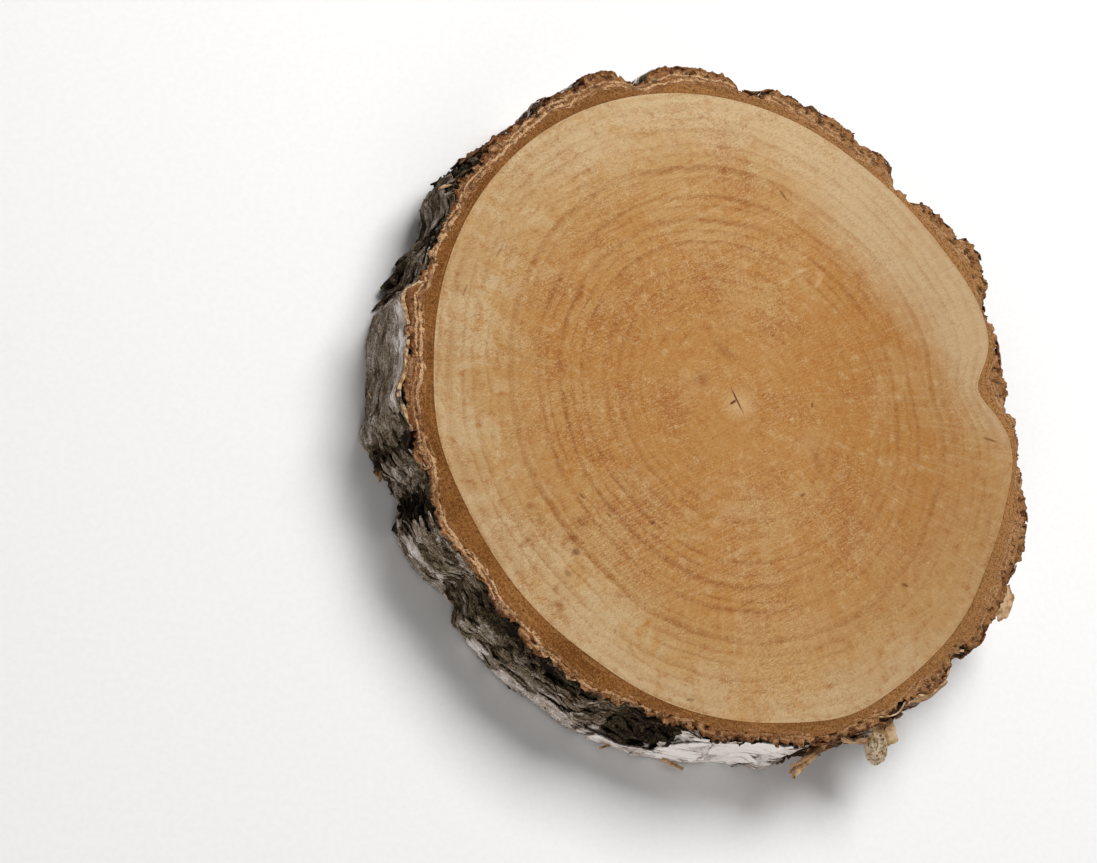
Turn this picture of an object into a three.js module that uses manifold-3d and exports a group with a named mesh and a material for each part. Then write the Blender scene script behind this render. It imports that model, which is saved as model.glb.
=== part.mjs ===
// A slice sawn across a birch trunk with its bark left on: a thick round of wood in a rough ring of
// bark, which has split into raised papery plates with deep furrows between them.
// Millimetres, +Z up. The slice lies on one sawn face. The origin is the pith, on that underside.

import * as THREE from 'three';
import { mergeVertices } from 'three/addons/utils/BufferGeometryUtils.js';
import Module from 'manifold-3d';

// Driving dimensions of the slice
const THICKNESS = 30;
const WOOD_RADIUS = 105;
const BARK_RADIUS = 113;
const BARK_SHRINK = 0.4;
const CAMBIUM_WIDTH = 0.6;

// Where the edge of the wood leaves its circle: angle, rise and half width in degrees
const WOOD_SWELLS = [
  { angle: 10.5, rise: -11.5, spread: 4.8 },
  { angle: 27, rise: 2.5, spread: 9 },
  { angle: 60, rise: -0.8, spread: 12 },
  { angle: 195, rise: 1.6, spread: 9 },
  { angle: 240, rise: -1, spread: 10 },
  { angle: 292, rise: 1.9, spread: 9 },
  { angle: 335, rise: -1.1, spread: 7 },
  { angle: 357, rise: 2.2, spread: 6 },
];

// Where the outside of the bark leaves its circle, in the same terms
const BARK_SWELLS = [
  { angle: 10, rise: -6.2, spread: 9 },
  { angle: 24, rise: -3.4, spread: 3 },
  { angle: 35, rise: 5.2, spread: 5 },
  { angle: 51, rise: -5.2, spread: 3 },
  { angle: 62, rise: -2.5, spread: 1.6 },
  { angle: 85.5, rise: -2.2, spread: 2 },
  { angle: 90.5, rise: 0.8, spread: 2 },
  { angle: 99, rise: 3.4, spread: 3 },
  { angle: 108, rise: -3, spread: 2.2 },
  { angle: 114, rise: 2.4, spread: 4 },
  { angle: 150, rise: -1.3, spread: 12 },
  { angle: 171, rise: 3, spread: 3 },
  { angle: 189, rise: 3.6, spread: 3 },
  { angle: 204, rise: 3.4, spread: 11 },
  { angle: 230, rise: 1.8, spread: 12 },
  { angle: 246, rise: 1.4, spread: 5 },
  { angle: 274, rise: -1.4, spread: 5 },
  { angle: 284, rise: 1.6, spread: 4 },
  { angle: 317, rise: -3.2, spread: 1.8 },
  { angle: 321.5, rise: 2.6, spread: 1.6 },
  { angle: 342, rise: 2.8, spread: 6 },
  { angle: 358, rise: -1.6, spread: 4 },
];

// Plates that stand out of the bark, and furrows sunk in it where the rise is below nothing.
// Each runs from one angle to another, and from one height to another.
const BARK_RELIEF = [
  { from: 19, to: 26, low: 0, high: 30, rise: -1 },
  { from: 28, to: 43, low: 0, high: 30, rise: 1.2 },
  { from: 31, to: 41, low: 4, high: 25, rise: 1.4 },
  { from: 45, to: 54, low: 0, high: 30, rise: -1.8 },
  { from: 55, to: 61, low: 2, high: 30, rise: 1.6 },
  { from: 64, to: 83, low: 3, high: 27, rise: 2.2 },
  { from: 84, to: 88, low: 0, high: 30, rise: -2.6 },
  { from: 89, to: 97, low: 8, high: 30, rise: 1.8 },
  { from: 97, to: 105, low: 0, high: 21, rise: 2.2 },
  { from: 106, to: 110, low: 0, high: 30, rise: -3 },
  { from: 111, to: 127, low: 2, high: 28, rise: 1.6 },
  { from: 128, to: 133, low: 0, high: 30, rise: -2 },
  { from: 134, to: 142, low: 4, high: 30, rise: 0.8 },
  { from: 143, to: 151, low: 6, high: 26, rise: 4.2 },
  { from: 153, to: 169, low: 0, high: 30, rise: -2.4 },
  { from: 172, to: 196, low: 0, high: 30, rise: 1.8 },
  { from: 198, to: 203, low: 0, high: 30, rise: -4.2 },
  { from: 204, to: 215, low: 3, high: 30, rise: 1 },
  { from: 216, to: 221, low: 0, high: 30, rise: -3.6 },
  { from: 222, to: 233, low: 0, high: 15, rise: 0.4 },
  { from: 223, to: 232, low: 18, high: 27, rise: -3 },
  { from: 234, to: 245, low: 4, high: 27, rise: -0.6 },
  { from: 246, to: 257, low: 15, high: 30, rise: -3.8 },
  { from: 250, to: 281, low: 0, high: 13, rise: 0.6 },
  { from: 258, to: 280, low: 16, high: 28, rise: -2.4 },
  { from: 284, to: 291, low: 4, high: 26, rise: -2.2 },
  { from: 292, to: 301, low: 0, high: 30, rise: 1.6 },
  { from: 302, to: 305, low: 0, high: 30, rise: -2.4 },
  { from: 306, to: 315, low: 2, high: 27, rise: 2.3 },
  { from: 316, to: 319, low: 0, high: 30, rise: -2.6 },
  { from: 320, to: 333, low: 6, high: 30, rise: 1.4 },
  { from: 335, to: 352, low: 0, high: 25, rise: 2.4 },
  { from: 353, to: 358, low: 0, high: 30, rise: -2.4 },
];

// How the bark's relief begins and ends
const RELIEF_EDGE_DEGREES = 1.2;
const RELIEF_EDGE_HEIGHT = 1.6;
const RIM_FADE_HEIGHT = 7;
const RIM_FADE_SHARE = 0.6;
const SWELL_DRIFT_DEGREES = 1.8;
const SWELL_DRIFT_WAVES = 7;

// The bark's small unevenness: cycles round the trunk, cycles up it, height and start of each wave
const BARK_WAVES = [
  { around: 31, up: 0.3, height: 0.5, start: 0.4 },
  { around: 47, up: -0.45, height: 0.4, start: 2.1 },
  { around: 71, up: 0.7, height: 0.35, start: 4.4 },
];
const CRUMB_HEIGHT = 0.55;
const CRUMB_SHIFT = 0.28;
const EDGE_CHIP = 0.5;

// The grid of the surface
const COLUMNS = 240;
const RIM_ROWS = 11;
const CRUMB_SEED = 20931;
const PEEL_SEED = 411;

// The knob of callus on its short stalk, and the bark that curls over it
const KNOB = { angle: 295.5, reach: 120, height: 22, radius: 4, stretch: 1.45, lump: 0.6 };
const STALK = { root: 109, thick: 3, thin: 1.8, sides: 7 };
const KNOB_DETAIL = 2;

// Sheets of bark that peel away: each curves from its root angle and radius to its free tip
const PEELS = [
  { root: 146, tip: 165, low: 9, high: 26, inner: 113.5, outer: 118.5 },
  { root: 346, tip: 332, low: 6, high: 22, inner: 113, outer: 122 },
  { root: 263, tip: 249, low: 1.2, high: 12, inner: 112, outer: 116.5 },
  { root: 65, tip: 81, low: 6, high: 24, inner: 112, outer: 117 },
  { root: 127, tip: 112, low: 3, high: 21, inner: 112, outer: 117.5 },
];
const PEEL_STEPS = 10;
const PEEL_THICK = 2;
const PEEL_THIN = 1;
const PEEL_CURL = 1.6;
const PEEL_TEAR = 3.5;

// Torn flakes left at the edge: place, size, slope and roll of each, and how far its root is sunk
const FLAKE_OUTLINE = [
  [-0.5, 0],
  [0.5, 0],
  [0.42, 0.45],
  [0.5, 0.8],
  [0.12, 0.86],
  [-0.02, 1],
  [-0.3, 0.9],
  [-0.38, 0.5],
];
const FLAKES = [
  { angle: 287.5, height: 20, width: 5, length: 21, thick: 1.5, slope: -4, swing: -50, roll: 25 },
  { angle: 297.5, height: 24, width: 5, length: 17, thick: 1.6, slope: 4, swing: 8, roll: 40 },
  { angle: 301, height: 27, width: 8, length: 11, thick: 1.6, slope: 6, swing: 30, roll: 0 },
  { angle: 291, height: 26.5, width: 7, length: 11, thick: 1.8, slope: 8, swing: -20, roll: 0 },
  { angle: 319, height: 26, width: 4, length: 10.5, thick: 1.4, slope: 0, swing: -35, roll: 0 },
];
const FLAKE_SINK = 7.5;

const WOOD_FINISH = { color: 0xc79a63, roughness: 0.78, metalness: 0 };

const radians = THREE.MathUtils.degToRad;

// Draws the same run of numbers from 0 to 1 each time.
function seededDraws(seed) {
  let state = seed;
  return () => {
    state = (Math.imul(state, 1664525) + 1013904223) >>> 0;
    return state / 2 ** 32;
  };
}

// The shortest way round from one angle to another.
function turnBetween(angle, other) {
  return THREE.MathUtils.euclideanModulo(angle - other + 180, 360) - 180;
}

function swollenRadius(radius, swells, angle) {
  const rises = swells.map(({ angle: at, rise, spread }) => {
    const away = turnBetween(angle, at) / spread;
    return rise * Math.exp(-away * away);
  });
  return rises.reduce((sum, rise) => sum + rise, radius);
}

function woodRadius(angle) {
  return swollenRadius(WOOD_RADIUS, WOOD_SWELLS, angle);
}

// 1 between two limits, falling to 0 across a soft edge outside them.
function within(value, low, high, edge) {
  const rising = THREE.MathUtils.smoothstep(value, low - edge, low);
  const falling = THREE.MathUtils.smoothstep(value, high, high + edge);
  return rising * (1 - falling);
}

function reliefAt(angle, height) {
  return BARK_RELIEF.reduce((sum, patch) => {
    const middle = (patch.from + patch.to) / 2;
    const half = (patch.to - patch.from) / 2;
    const away = turnBetween(angle, middle);
    const around = within(away, -half, half, RELIEF_EDGE_DEGREES);
    const up = within(height, patch.low, patch.high, RELIEF_EDGE_HEIGHT);
    return sum + patch.rise * around * up;
  }, 0);
}

function wavesAt(angle, height) {
  const share = height / THICKNESS;
  return BARK_WAVES.reduce((sum, wave) => {
    const phase = wave.around * radians(angle) + 2 * Math.PI * wave.up * share + wave.start;
    return sum + wave.height * Math.sin(phase);
  }, 0);
}

// The bark's outside. The swells are read at the upper edge and drift sideways below it.
function barkRadius(angle, height) {
  const depth = (THICKNESS - height) / THICKNESS;
  const drift = SWELL_DRIFT_DEGREES * depth * Math.sin(SWELL_DRIFT_WAVES * radians(angle));
  const outline = swollenRadius(BARK_RADIUS, BARK_SWELLS, angle + drift);
  const nearEdge = THREE.MathUtils.smoothstep(height, THICKNESS - RIM_FADE_HEIGHT, THICKNESS);
  const relief = reliefAt(angle, height) * (1 - RIM_FADE_SHARE * nearEdge);
  return outline + relief + wavesAt(angle, height);
}

function ringPoint(angle, radius, height) {
  const turn = radians(angle);
  return [radius * Math.cos(turn), radius * Math.sin(turn), height];
}

function plainRing(radiusAt, height) {
  return Array.from({ length: COLUMNS }, (_, column) => {
    const angle = (360 * column) / COLUMNS;
    return ringPoint(angle, radiusAt(angle), height);
  });
}

// One row round the bark, with crumbs of bark as small random shifts of its points.
function barkRing(row, draw) {
  const columnStep = 360 / COLUMNS;
  const rowStep = (THICKNESS - 2 * BARK_SHRINK) / (RIM_ROWS - 1);
  const sawn = row === 0 || row === RIM_ROWS - 1;
  return Array.from({ length: COLUMNS }, (_, column) => {
    const angle = columnStep * (column + CRUMB_SHIFT * (2 * draw() - 1));
    const crumb = CRUMB_HEIGHT * (2 * draw() - 1);
    const shift = rowStep * CRUMB_SHIFT * (2 * draw() - 1);
    const chip = (row === 0 ? 1 : -1) * EDGE_CHIP * draw();
    const height = BARK_SHRINK + row * rowStep + (sawn ? chip : shift);
    return ringPoint(angle, barkRadius(angle, height) + crumb, height);
  });
}

// The rings of the closed surface in order, from the underside's wood to the upper side's.
function surfaceRings() {
  const draw = seededDraws(CRUMB_SEED);
  const cambiumRadius = (angle) => woodRadius(angle) + CAMBIUM_WIDTH;
  const rim = Array.from({ length: RIM_ROWS }, (_, row) => barkRing(row, draw));
  return [
    plainRing(woodRadius, 0),
    plainRing(cambiumRadius, BARK_SHRINK),
    ...rim,
    plainRing(cambiumRadius, THICKNESS - BARK_SHRINK),
    plainRing(woodRadius, THICKNESS),
  ];
}

// Joins ring to ring in triangles, and closes the first and last ring with a fan round the pith.
function closedSurface(rings) {
  const points = [[0, 0, 0], ...rings.flat(), [0, 0, THICKNESS]];
  const topPith = points.length - 1;
  const lastRing = topPith - COLUMNS;
  const triangles = [];
  for (let column = 0; column < COLUMNS; column += 1) {
    const next = (column + 1) % COLUMNS;
    triangles.push(0, 1 + next, 1 + column);
    triangles.push(topPith, lastRing + column, lastRing + next);
    for (let ring = 0; ring < rings.length - 1; ring += 1) {
      const low = 1 + ring * COLUMNS;
      const high = low + COLUMNS;
      triangles.push(low + column, low + next, high + next);
      triangles.push(low + column, high + next, high + column);
    }
  }
  const geometry = new THREE.BufferGeometry();
  geometry.setAttribute('position', new THREE.Float32BufferAttribute(points.flat(), 3));
  geometry.setIndex(triangles);
  return geometry;
}

function sliceBody() {
  return closedSurface(surfaceRings());
}

// A frame on the rim: X along the bark, Y straight out and Z up.
function rimFrame(angle, radius, height) {
  const place = new THREE.Matrix4().makeTranslation(...ringPoint(angle, radius, height));
  return place.multiply(new THREE.Matrix4().makeRotationZ(radians(angle - 90)));
}

function knobGeometry() {
  const geometry = new THREE.IcosahedronGeometry(KNOB.radius, KNOB_DETAIL);
  const position = geometry.getAttribute('position');
  const point = new THREE.Vector3();
  for (let index = 0; index < position.count; index += 1) {
    point.fromBufferAttribute(position, index);
    const lump = Math.sin(1.3 * point.x) + Math.sin(1.1 * point.y + 1) + Math.sin(1.2 * point.z);
    point.setLength(KNOB.radius + (KNOB.lump * lump) / 2);
    position.setXYZ(index, point.x, point.y * KNOB.stretch, point.z);
  }
  return geometry.applyMatrix4(rimFrame(KNOB.angle, KNOB.reach, KNOB.height));
}

function stalkGeometry() {
  const length = KNOB.reach - STALK.root;
  const stalk = new THREE.CylinderGeometry(STALK.thin, STALK.thick, length, STALK.sides);
  return stalk.applyMatrix4(rimFrame(KNOB.angle, STALK.root + length / 2, KNOB.height));
}

// Four-cornered sections joined one after the other, and closed at both ends.
function jointedBand(sections) {
  const corners = 4;
  const last = (sections.length - 1) * corners;
  const triangles = [0, 1, 2, 0, 2, 3, last, last + 2, last + 1, last, last + 3, last + 2];
  for (let start = 0; start < last; start += corners) {
    for (let corner = 0; corner < corners; corner += 1) {
      const here = start + corner;
      const beside = start + ((corner + 1) % corners);
      triangles.push(here, here + corners, beside + corners);
      triangles.push(here, beside + corners, beside);
    }
  }
  const geometry = new THREE.BufferGeometry();
  geometry.setAttribute('position', new THREE.Float32BufferAttribute(sections.flat(2), 3));
  geometry.setIndex(triangles);
  return geometry;
}

// A sheet of bark that winds outwards, thins towards its tip and is ragged along both edges.
function peelGeometry({ root, tip, low, high, inner, outer }, draw) {
  const sections = Array.from({ length: PEEL_STEPS + 1 }, (_, step) => {
    const share = step / PEEL_STEPS;
    const angle = THREE.MathUtils.lerp(root, tip, share);
    const radius = THREE.MathUtils.lerp(inner, outer, share ** PEEL_CURL);
    const half = THREE.MathUtils.lerp(PEEL_THICK, PEEL_THIN, share) / 2;
    const bottom = low + PEEL_TEAR * draw();
    const top = high - PEEL_TEAR * draw();
    return [
      ringPoint(angle, radius + half, bottom),
      ringPoint(angle, radius + half, top),
      ringPoint(angle, radius - half, top),
      ringPoint(angle, radius - half, bottom),
    ];
  });
  return jointedBand(root < tip ? sections : sections.reverse());
}

function flakeGeometry({ angle, height, width, length, thick, slope, swing, roll }) {
  const corners = FLAKE_OUTLINE.map(([x, y]) => new THREE.Vector2(x * width, y * length));
  const options = { depth: thick, bevelEnabled: false };
  const flake = new THREE.ExtrudeGeometry(new THREE.Shape(corners), options);
  flake.translate(0, 0, -thick / 2);
  flake.rotateY(radians(roll));
  flake.rotateX(radians(slope));
  flake.rotateZ(radians(swing));
  const root = barkRadius(angle, height) - FLAKE_SINK;
  return flake.applyMatrix4(rimFrame(angle, root, height));
}

function toSolid(geometry, wasm) {
  geometry.deleteAttribute('normal');
  geometry.deleteAttribute('uv');
  const welded = mergeVertices(geometry);
  const vertProperties = new Float32Array(welded.getAttribute('position').array);
  const triVerts = new Uint32Array(welded.getIndex().array);
  return new wasm.Manifold(new wasm.Mesh({ numProp: 3, vertProperties, triVerts }));
}

function toGeometry(solid) {
  const { vertProperties, triVerts } = solid.getMesh();
  const geometry = new THREE.BufferGeometry();
  geometry.setAttribute('position', new THREE.Float32BufferAttribute(vertProperties, 3));
  geometry.setIndex([...triVerts]);
  geometry.computeVertexNormals();
  return geometry;
}

// Everything grew as one piece, so what stands off the rim is joined to it.
async function sliceGeometry() {
  const wasm = await Module();
  wasm.setup();
  const draw = seededDraws(PEEL_SEED);
  const peels = PEELS.map((peel) => peelGeometry(peel, draw));
  const grown = [knobGeometry(), stalkGeometry(), ...peels, ...FLAKES.map(flakeGeometry)];
  const body = toSolid(sliceBody(), wasm);
  const whole = grown.reduce((solid, piece) => solid.add(toSolid(piece, wasm)), body);
  return toGeometry(whole);
}

const slice = new THREE.Mesh(
  await sliceGeometry(),
  new THREE.MeshStandardMaterial(WOOD_FINISH),
);
slice.name = 'birch_slice';

const group = new THREE.Group();
group.add(slice);

export default group;
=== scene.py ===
"""A birch wood slice: a sawn round of pale wood in a ring of furrowed bark with peeling sheets."""
import logging
import math
from dataclasses import dataclass
from enum import Enum
from typing import Any, Callable, Sequence

import bpy
import numpy as np
from mathutils import Matrix, Vector, noise
from mathutils.bvhtree import BVHTree


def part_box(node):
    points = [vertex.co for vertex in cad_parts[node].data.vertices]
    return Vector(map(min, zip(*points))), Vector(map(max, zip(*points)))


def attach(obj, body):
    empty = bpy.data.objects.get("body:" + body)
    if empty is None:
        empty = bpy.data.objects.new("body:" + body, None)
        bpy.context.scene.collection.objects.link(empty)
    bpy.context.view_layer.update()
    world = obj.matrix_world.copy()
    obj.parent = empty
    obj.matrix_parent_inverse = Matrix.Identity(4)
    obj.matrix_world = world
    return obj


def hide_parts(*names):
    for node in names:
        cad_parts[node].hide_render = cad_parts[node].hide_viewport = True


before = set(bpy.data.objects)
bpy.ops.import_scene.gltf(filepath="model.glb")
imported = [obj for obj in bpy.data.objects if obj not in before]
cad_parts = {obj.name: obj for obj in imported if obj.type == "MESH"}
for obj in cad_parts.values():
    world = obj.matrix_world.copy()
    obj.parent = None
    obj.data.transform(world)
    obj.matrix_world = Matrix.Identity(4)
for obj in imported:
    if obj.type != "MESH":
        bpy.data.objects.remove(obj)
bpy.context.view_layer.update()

NODE = "birch_slice"
BODY = "root"
MM = 0.001
WELD = MM / 1000
COPY_SPACING = 9.0
CELL_HASH = np.array((12.9, 78.2, 37.7))
HASH_SPREAD = 4375.8
LOG = logging.getLogger(NODE)

Array = np.ndarray
Triple = tuple[float, float, float]
Colour = tuple[float, float, float, float]
Piece = bpy.types.Object
Material = bpy.types.Material
NodeTree = bpy.types.NodeTree
Node = bpy.types.Node
Socket = bpy.types.NodeSocket


class Slot(Enum):
    """The record's material slots."""

    WOOD = "wood"
    CUT_BARK = "cut_bark"
    OUTER_BARK = "outer_bark"
    PAPER_BARK = "paper_bark"


class Growth(Enum):
    """What covers a patch of the bark's outside."""

    PALE = "pale"
    GREY = "grey"
    RUST = "rust"
    DEEP = "deep"


def srgb(red: float, green: float, blue: float) -> Colour:
    """Turns a colour as a screen shows it, from 0 to 255, into Blender's linear colour.

    Args:
        red: How red it is.
        green: How green it is.
        blue: How blue it is.

    Returns:
        The linear colour, opaque.
    """
    linear = [
        share / 12.92 if share <= 0.04045 else ((share + 0.055) / 1.055) ** 2.4
        for share in (red / 255, green / 255, blue / 255)
    ]
    return (linear[0], linear[1], linear[2], 1.0)


def eased(value: Array, low: float, high: float) -> Array:
    """Rises smoothly from 0 at low to 1 at high.

    Args:
        value: The numbers to ease.
        low: Where the rise starts.
        high: Where it ends.

    Returns:
        The eased numbers, from 0 to 1.
    """
    share = np.clip((value - low) / (high - low), 0.0, 1.0)
    return share * share * (3.0 - 2.0 * share)


def turn_between(angle: Array, other: float) -> Array:
    """Gives the shortest way round, in degrees, from one angle to the others."""
    return (angle - other + 180.0) % 360.0 - 180.0


def rumple(points: Array, cycles: Sequence[float], octaves: int = 2, seed: float = 0.0) -> Array:
    """Samples smooth fractal noise at points.

    Args:
        points: Places in metres, one row each.
        cycles: Cycles of the noise in a metre along X, Y and Z.
        octaves: How many finer layers are added.
        seed: A shift that gives another pattern.

    Returns:
        One number for each point, from about -1 to 1.
    """
    stretched = points * np.asarray(cycles) + seed
    return np.array([noise.fractal(Vector(place), 1.0, 2.0, octaves) for place in stretched])


def plate_cells(
    points: Array, cycles: Sequence[float], seed: float = 0.0
) -> tuple[Array, Array, Array]:
    """Cuts space into irregular cells, as cracks cut bark into plates.

    Args:
        points: Places in metres, one row each.
        cycles: Cells in a metre along X, Y and Z.
        seed: A shift that gives another pattern.

    Returns:
        How far each point lies from its cell's border, from 0 on it to about 1 well inside, a
        random number from 0 to 1 for its cell, and the cell's middle.
    """
    stretched = points * np.asarray(cycles) + seed
    found = [noise.voronoi(Vector(place)) for place in stretched]
    gap = np.array([distances[1] - distances[0] for distances, _ in found])
    centres = np.array([nearest[0] for _, nearest in found])
    own = np.modf(np.abs(np.sin(centres @ CELL_HASH) * HASH_SPREAD))[0]
    return gap, own, (centres - seed) / np.asarray(cycles)


def read_points(piece: Piece) -> Array:
    """Reads a piece's vertices as rows of X, Y and Z.

    Args:
        piece: The piece.

    Returns:
        The vertices in metres, one row each.
    """
    points = np.empty(len(piece.data.vertices) * 3, np.float32)
    piece.data.vertices.foreach_get("co", points)
    return points.reshape(-1, 3).astype(float)


def write_points(piece: Piece, points: Array) -> None:
    """Moves a piece's vertices to rows of X, Y and Z."""
    piece.data.vertices.foreach_set("co", points.astype(np.float32).ravel())
    piece.data.update()


def write_masks(piece: Piece, **masks: Array) -> None:
    """Keeps numbers for each vertex of a piece, under the names that its material reads.

    Args:
        piece: The piece.
        masks: One number for each vertex, by the mask's name.
    """
    for name, values in masks.items():
        attribute = piece.data.attributes.new(name, "FLOAT", "POINT")
        attribute.data.foreach_set("value", values.astype(np.float32))


def polar_points(turn: Array, radius: Array, height: Array) -> Array:
    """Makes rows of X, Y and Z from angles in radians, radii and heights."""
    return np.column_stack((radius * np.cos(turn), radius * np.sin(turn), height))


def make_active(piece: Piece) -> None:
    """Selects one piece alone, for the operators that follow.

    Args:
        piece: The piece.
    """
    bpy.ops.object.select_all(action="DESELECT")
    bpy.context.view_layer.objects.active = piece
    piece.select_set(True)


def primitive(name: str, add: Callable[..., Any], **options: Any) -> Piece:
    """Adds one of Blender's mesh primitives, with everything else deselected.

    Args:
        name: Its name.
        add: The operator that adds it.
        options: The operator's settings.

    Returns:
        The new piece.
    """
    bpy.ops.object.select_all(action="DESELECT")
    add(**options)
    piece = bpy.context.object
    piece.name = name
    return piece


def apply_modifier(piece: Piece, kind: str, **settings: Any) -> None:
    """Adds one modifier to a piece, sets it and applies it.

    Args:
        piece: The piece.
        kind: Blender's name for the kind of modifier.
        settings: Its settings.
    """
    make_active(piece)
    modifier = piece.modifiers.new(kind.lower(), kind)
    for name, value in settings.items():
        setattr(modifier, name, value)
    bpy.ops.object.modifier_apply(modifier=modifier.name)


def seal(piece: Piece) -> None:
    """Merges a piece's vertices that meet and turns its faces outwards.

    Args:
        piece: The piece.
    """
    make_active(piece)
    bpy.ops.object.mode_set(mode="EDIT")
    bpy.ops.mesh.select_all(action="SELECT")
    bpy.ops.mesh.remove_doubles(threshold=WELD)
    bpy.ops.mesh.normals_make_consistent(inside=False)
    bpy.ops.object.mode_set(mode="OBJECT")


def turned(
    name: str, profile: Sequence[tuple[float, float]], steps: int, solid: bool = False
) -> Piece:
    """Turns a profile round the trunk's axis.

    Args:
        name: The new piece's name.
        profile: Radius and height of each corner, in order round the profile.
        steps: How many columns go round the axis.
        solid: Whether the first and last corner lie on the axis.

    Returns:
        The turned piece, closed and facing outwards.
    """
    ring = {"vertices": len(profile), "radius": profile[0][0] + MM, "fill_type": "NOTHING"}
    piece = primitive(name, bpy.ops.mesh.primitive_circle_add, **ring)
    for vertex, (radius, height) in zip(piece.data.vertices, profile):
        vertex.co = (radius, 0.0, height)
    if solid:
        open_along_axis(piece)
    rounds = {"steps": steps, "render_steps": steps, "angle": math.tau, "axis": "Z"}
    apply_modifier(piece, "SCREW", use_merge_vertices=True, merge_threshold=WELD, **rounds)
    seal(piece)
    return piece


def copies(piece: Piece, count: int) -> tuple[Array, Array]:
    """Repeats a small piece many times within its mesh.

    Args:
        piece: The piece, whose mesh becomes all the copies.
        count: How many copies there are.

    Returns:
        Each vertex's place within its own copy, and the number of its copy.
    """
    apart = {"use_constant_offset": True, "constant_offset_displace": (COPY_SPACING, 0.0, 0.0)}
    first = read_points(piece)
    apply_modifier(piece, "ARRAY", count=count, use_relative_offset=False, **apart)
    return np.tile(first, (count, 1)), np.repeat(np.arange(count), len(first))


def open_along_axis(piece: Piece) -> None:
    """Takes away the one edge of a profile that lies along the trunk's axis.

    Args:
        piece: The piece whose mesh is the profile.
    """
    make_active(piece)
    bpy.ops.object.mode_set(mode="EDIT")
    bpy.ops.mesh.select_all(action="DESELECT")
    bpy.ops.mesh.select_mode(type="EDGE")
    bpy.ops.object.mode_set(mode="OBJECT")
    for edge in piece.data.edges:
        edge.select = all(abs(piece.data.vertices[end].co.x) < WELD for end in edge.vertices)
    bpy.ops.object.mode_set(mode="EDIT")
    bpy.ops.mesh.delete(type="EDGE")
    bpy.ops.mesh.select_mode(type="VERT")
    bpy.ops.object.mode_set(mode="OBJECT")


def settle(piece: Piece, finish: Material, smooth: float = 180.0) -> None:
    """Finishes a piece: its material, its shading, its body and what it stands for.

    Args:
        piece: The piece, with its place in its mesh.
        finish: Its material.
        smooth: Edges sharper than this many degrees stay crisp.
    """
    make_active(piece)
    bpy.ops.object.shade_smooth_by_angle(angle=math.radians(smooth))
    if not piece.data.materials:
        piece.data.materials.append(finish)
    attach(piece, BODY)
    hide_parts(NODE)
    LOG.info("%s: %d faces", piece.name, len(piece.data.polygons))


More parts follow.
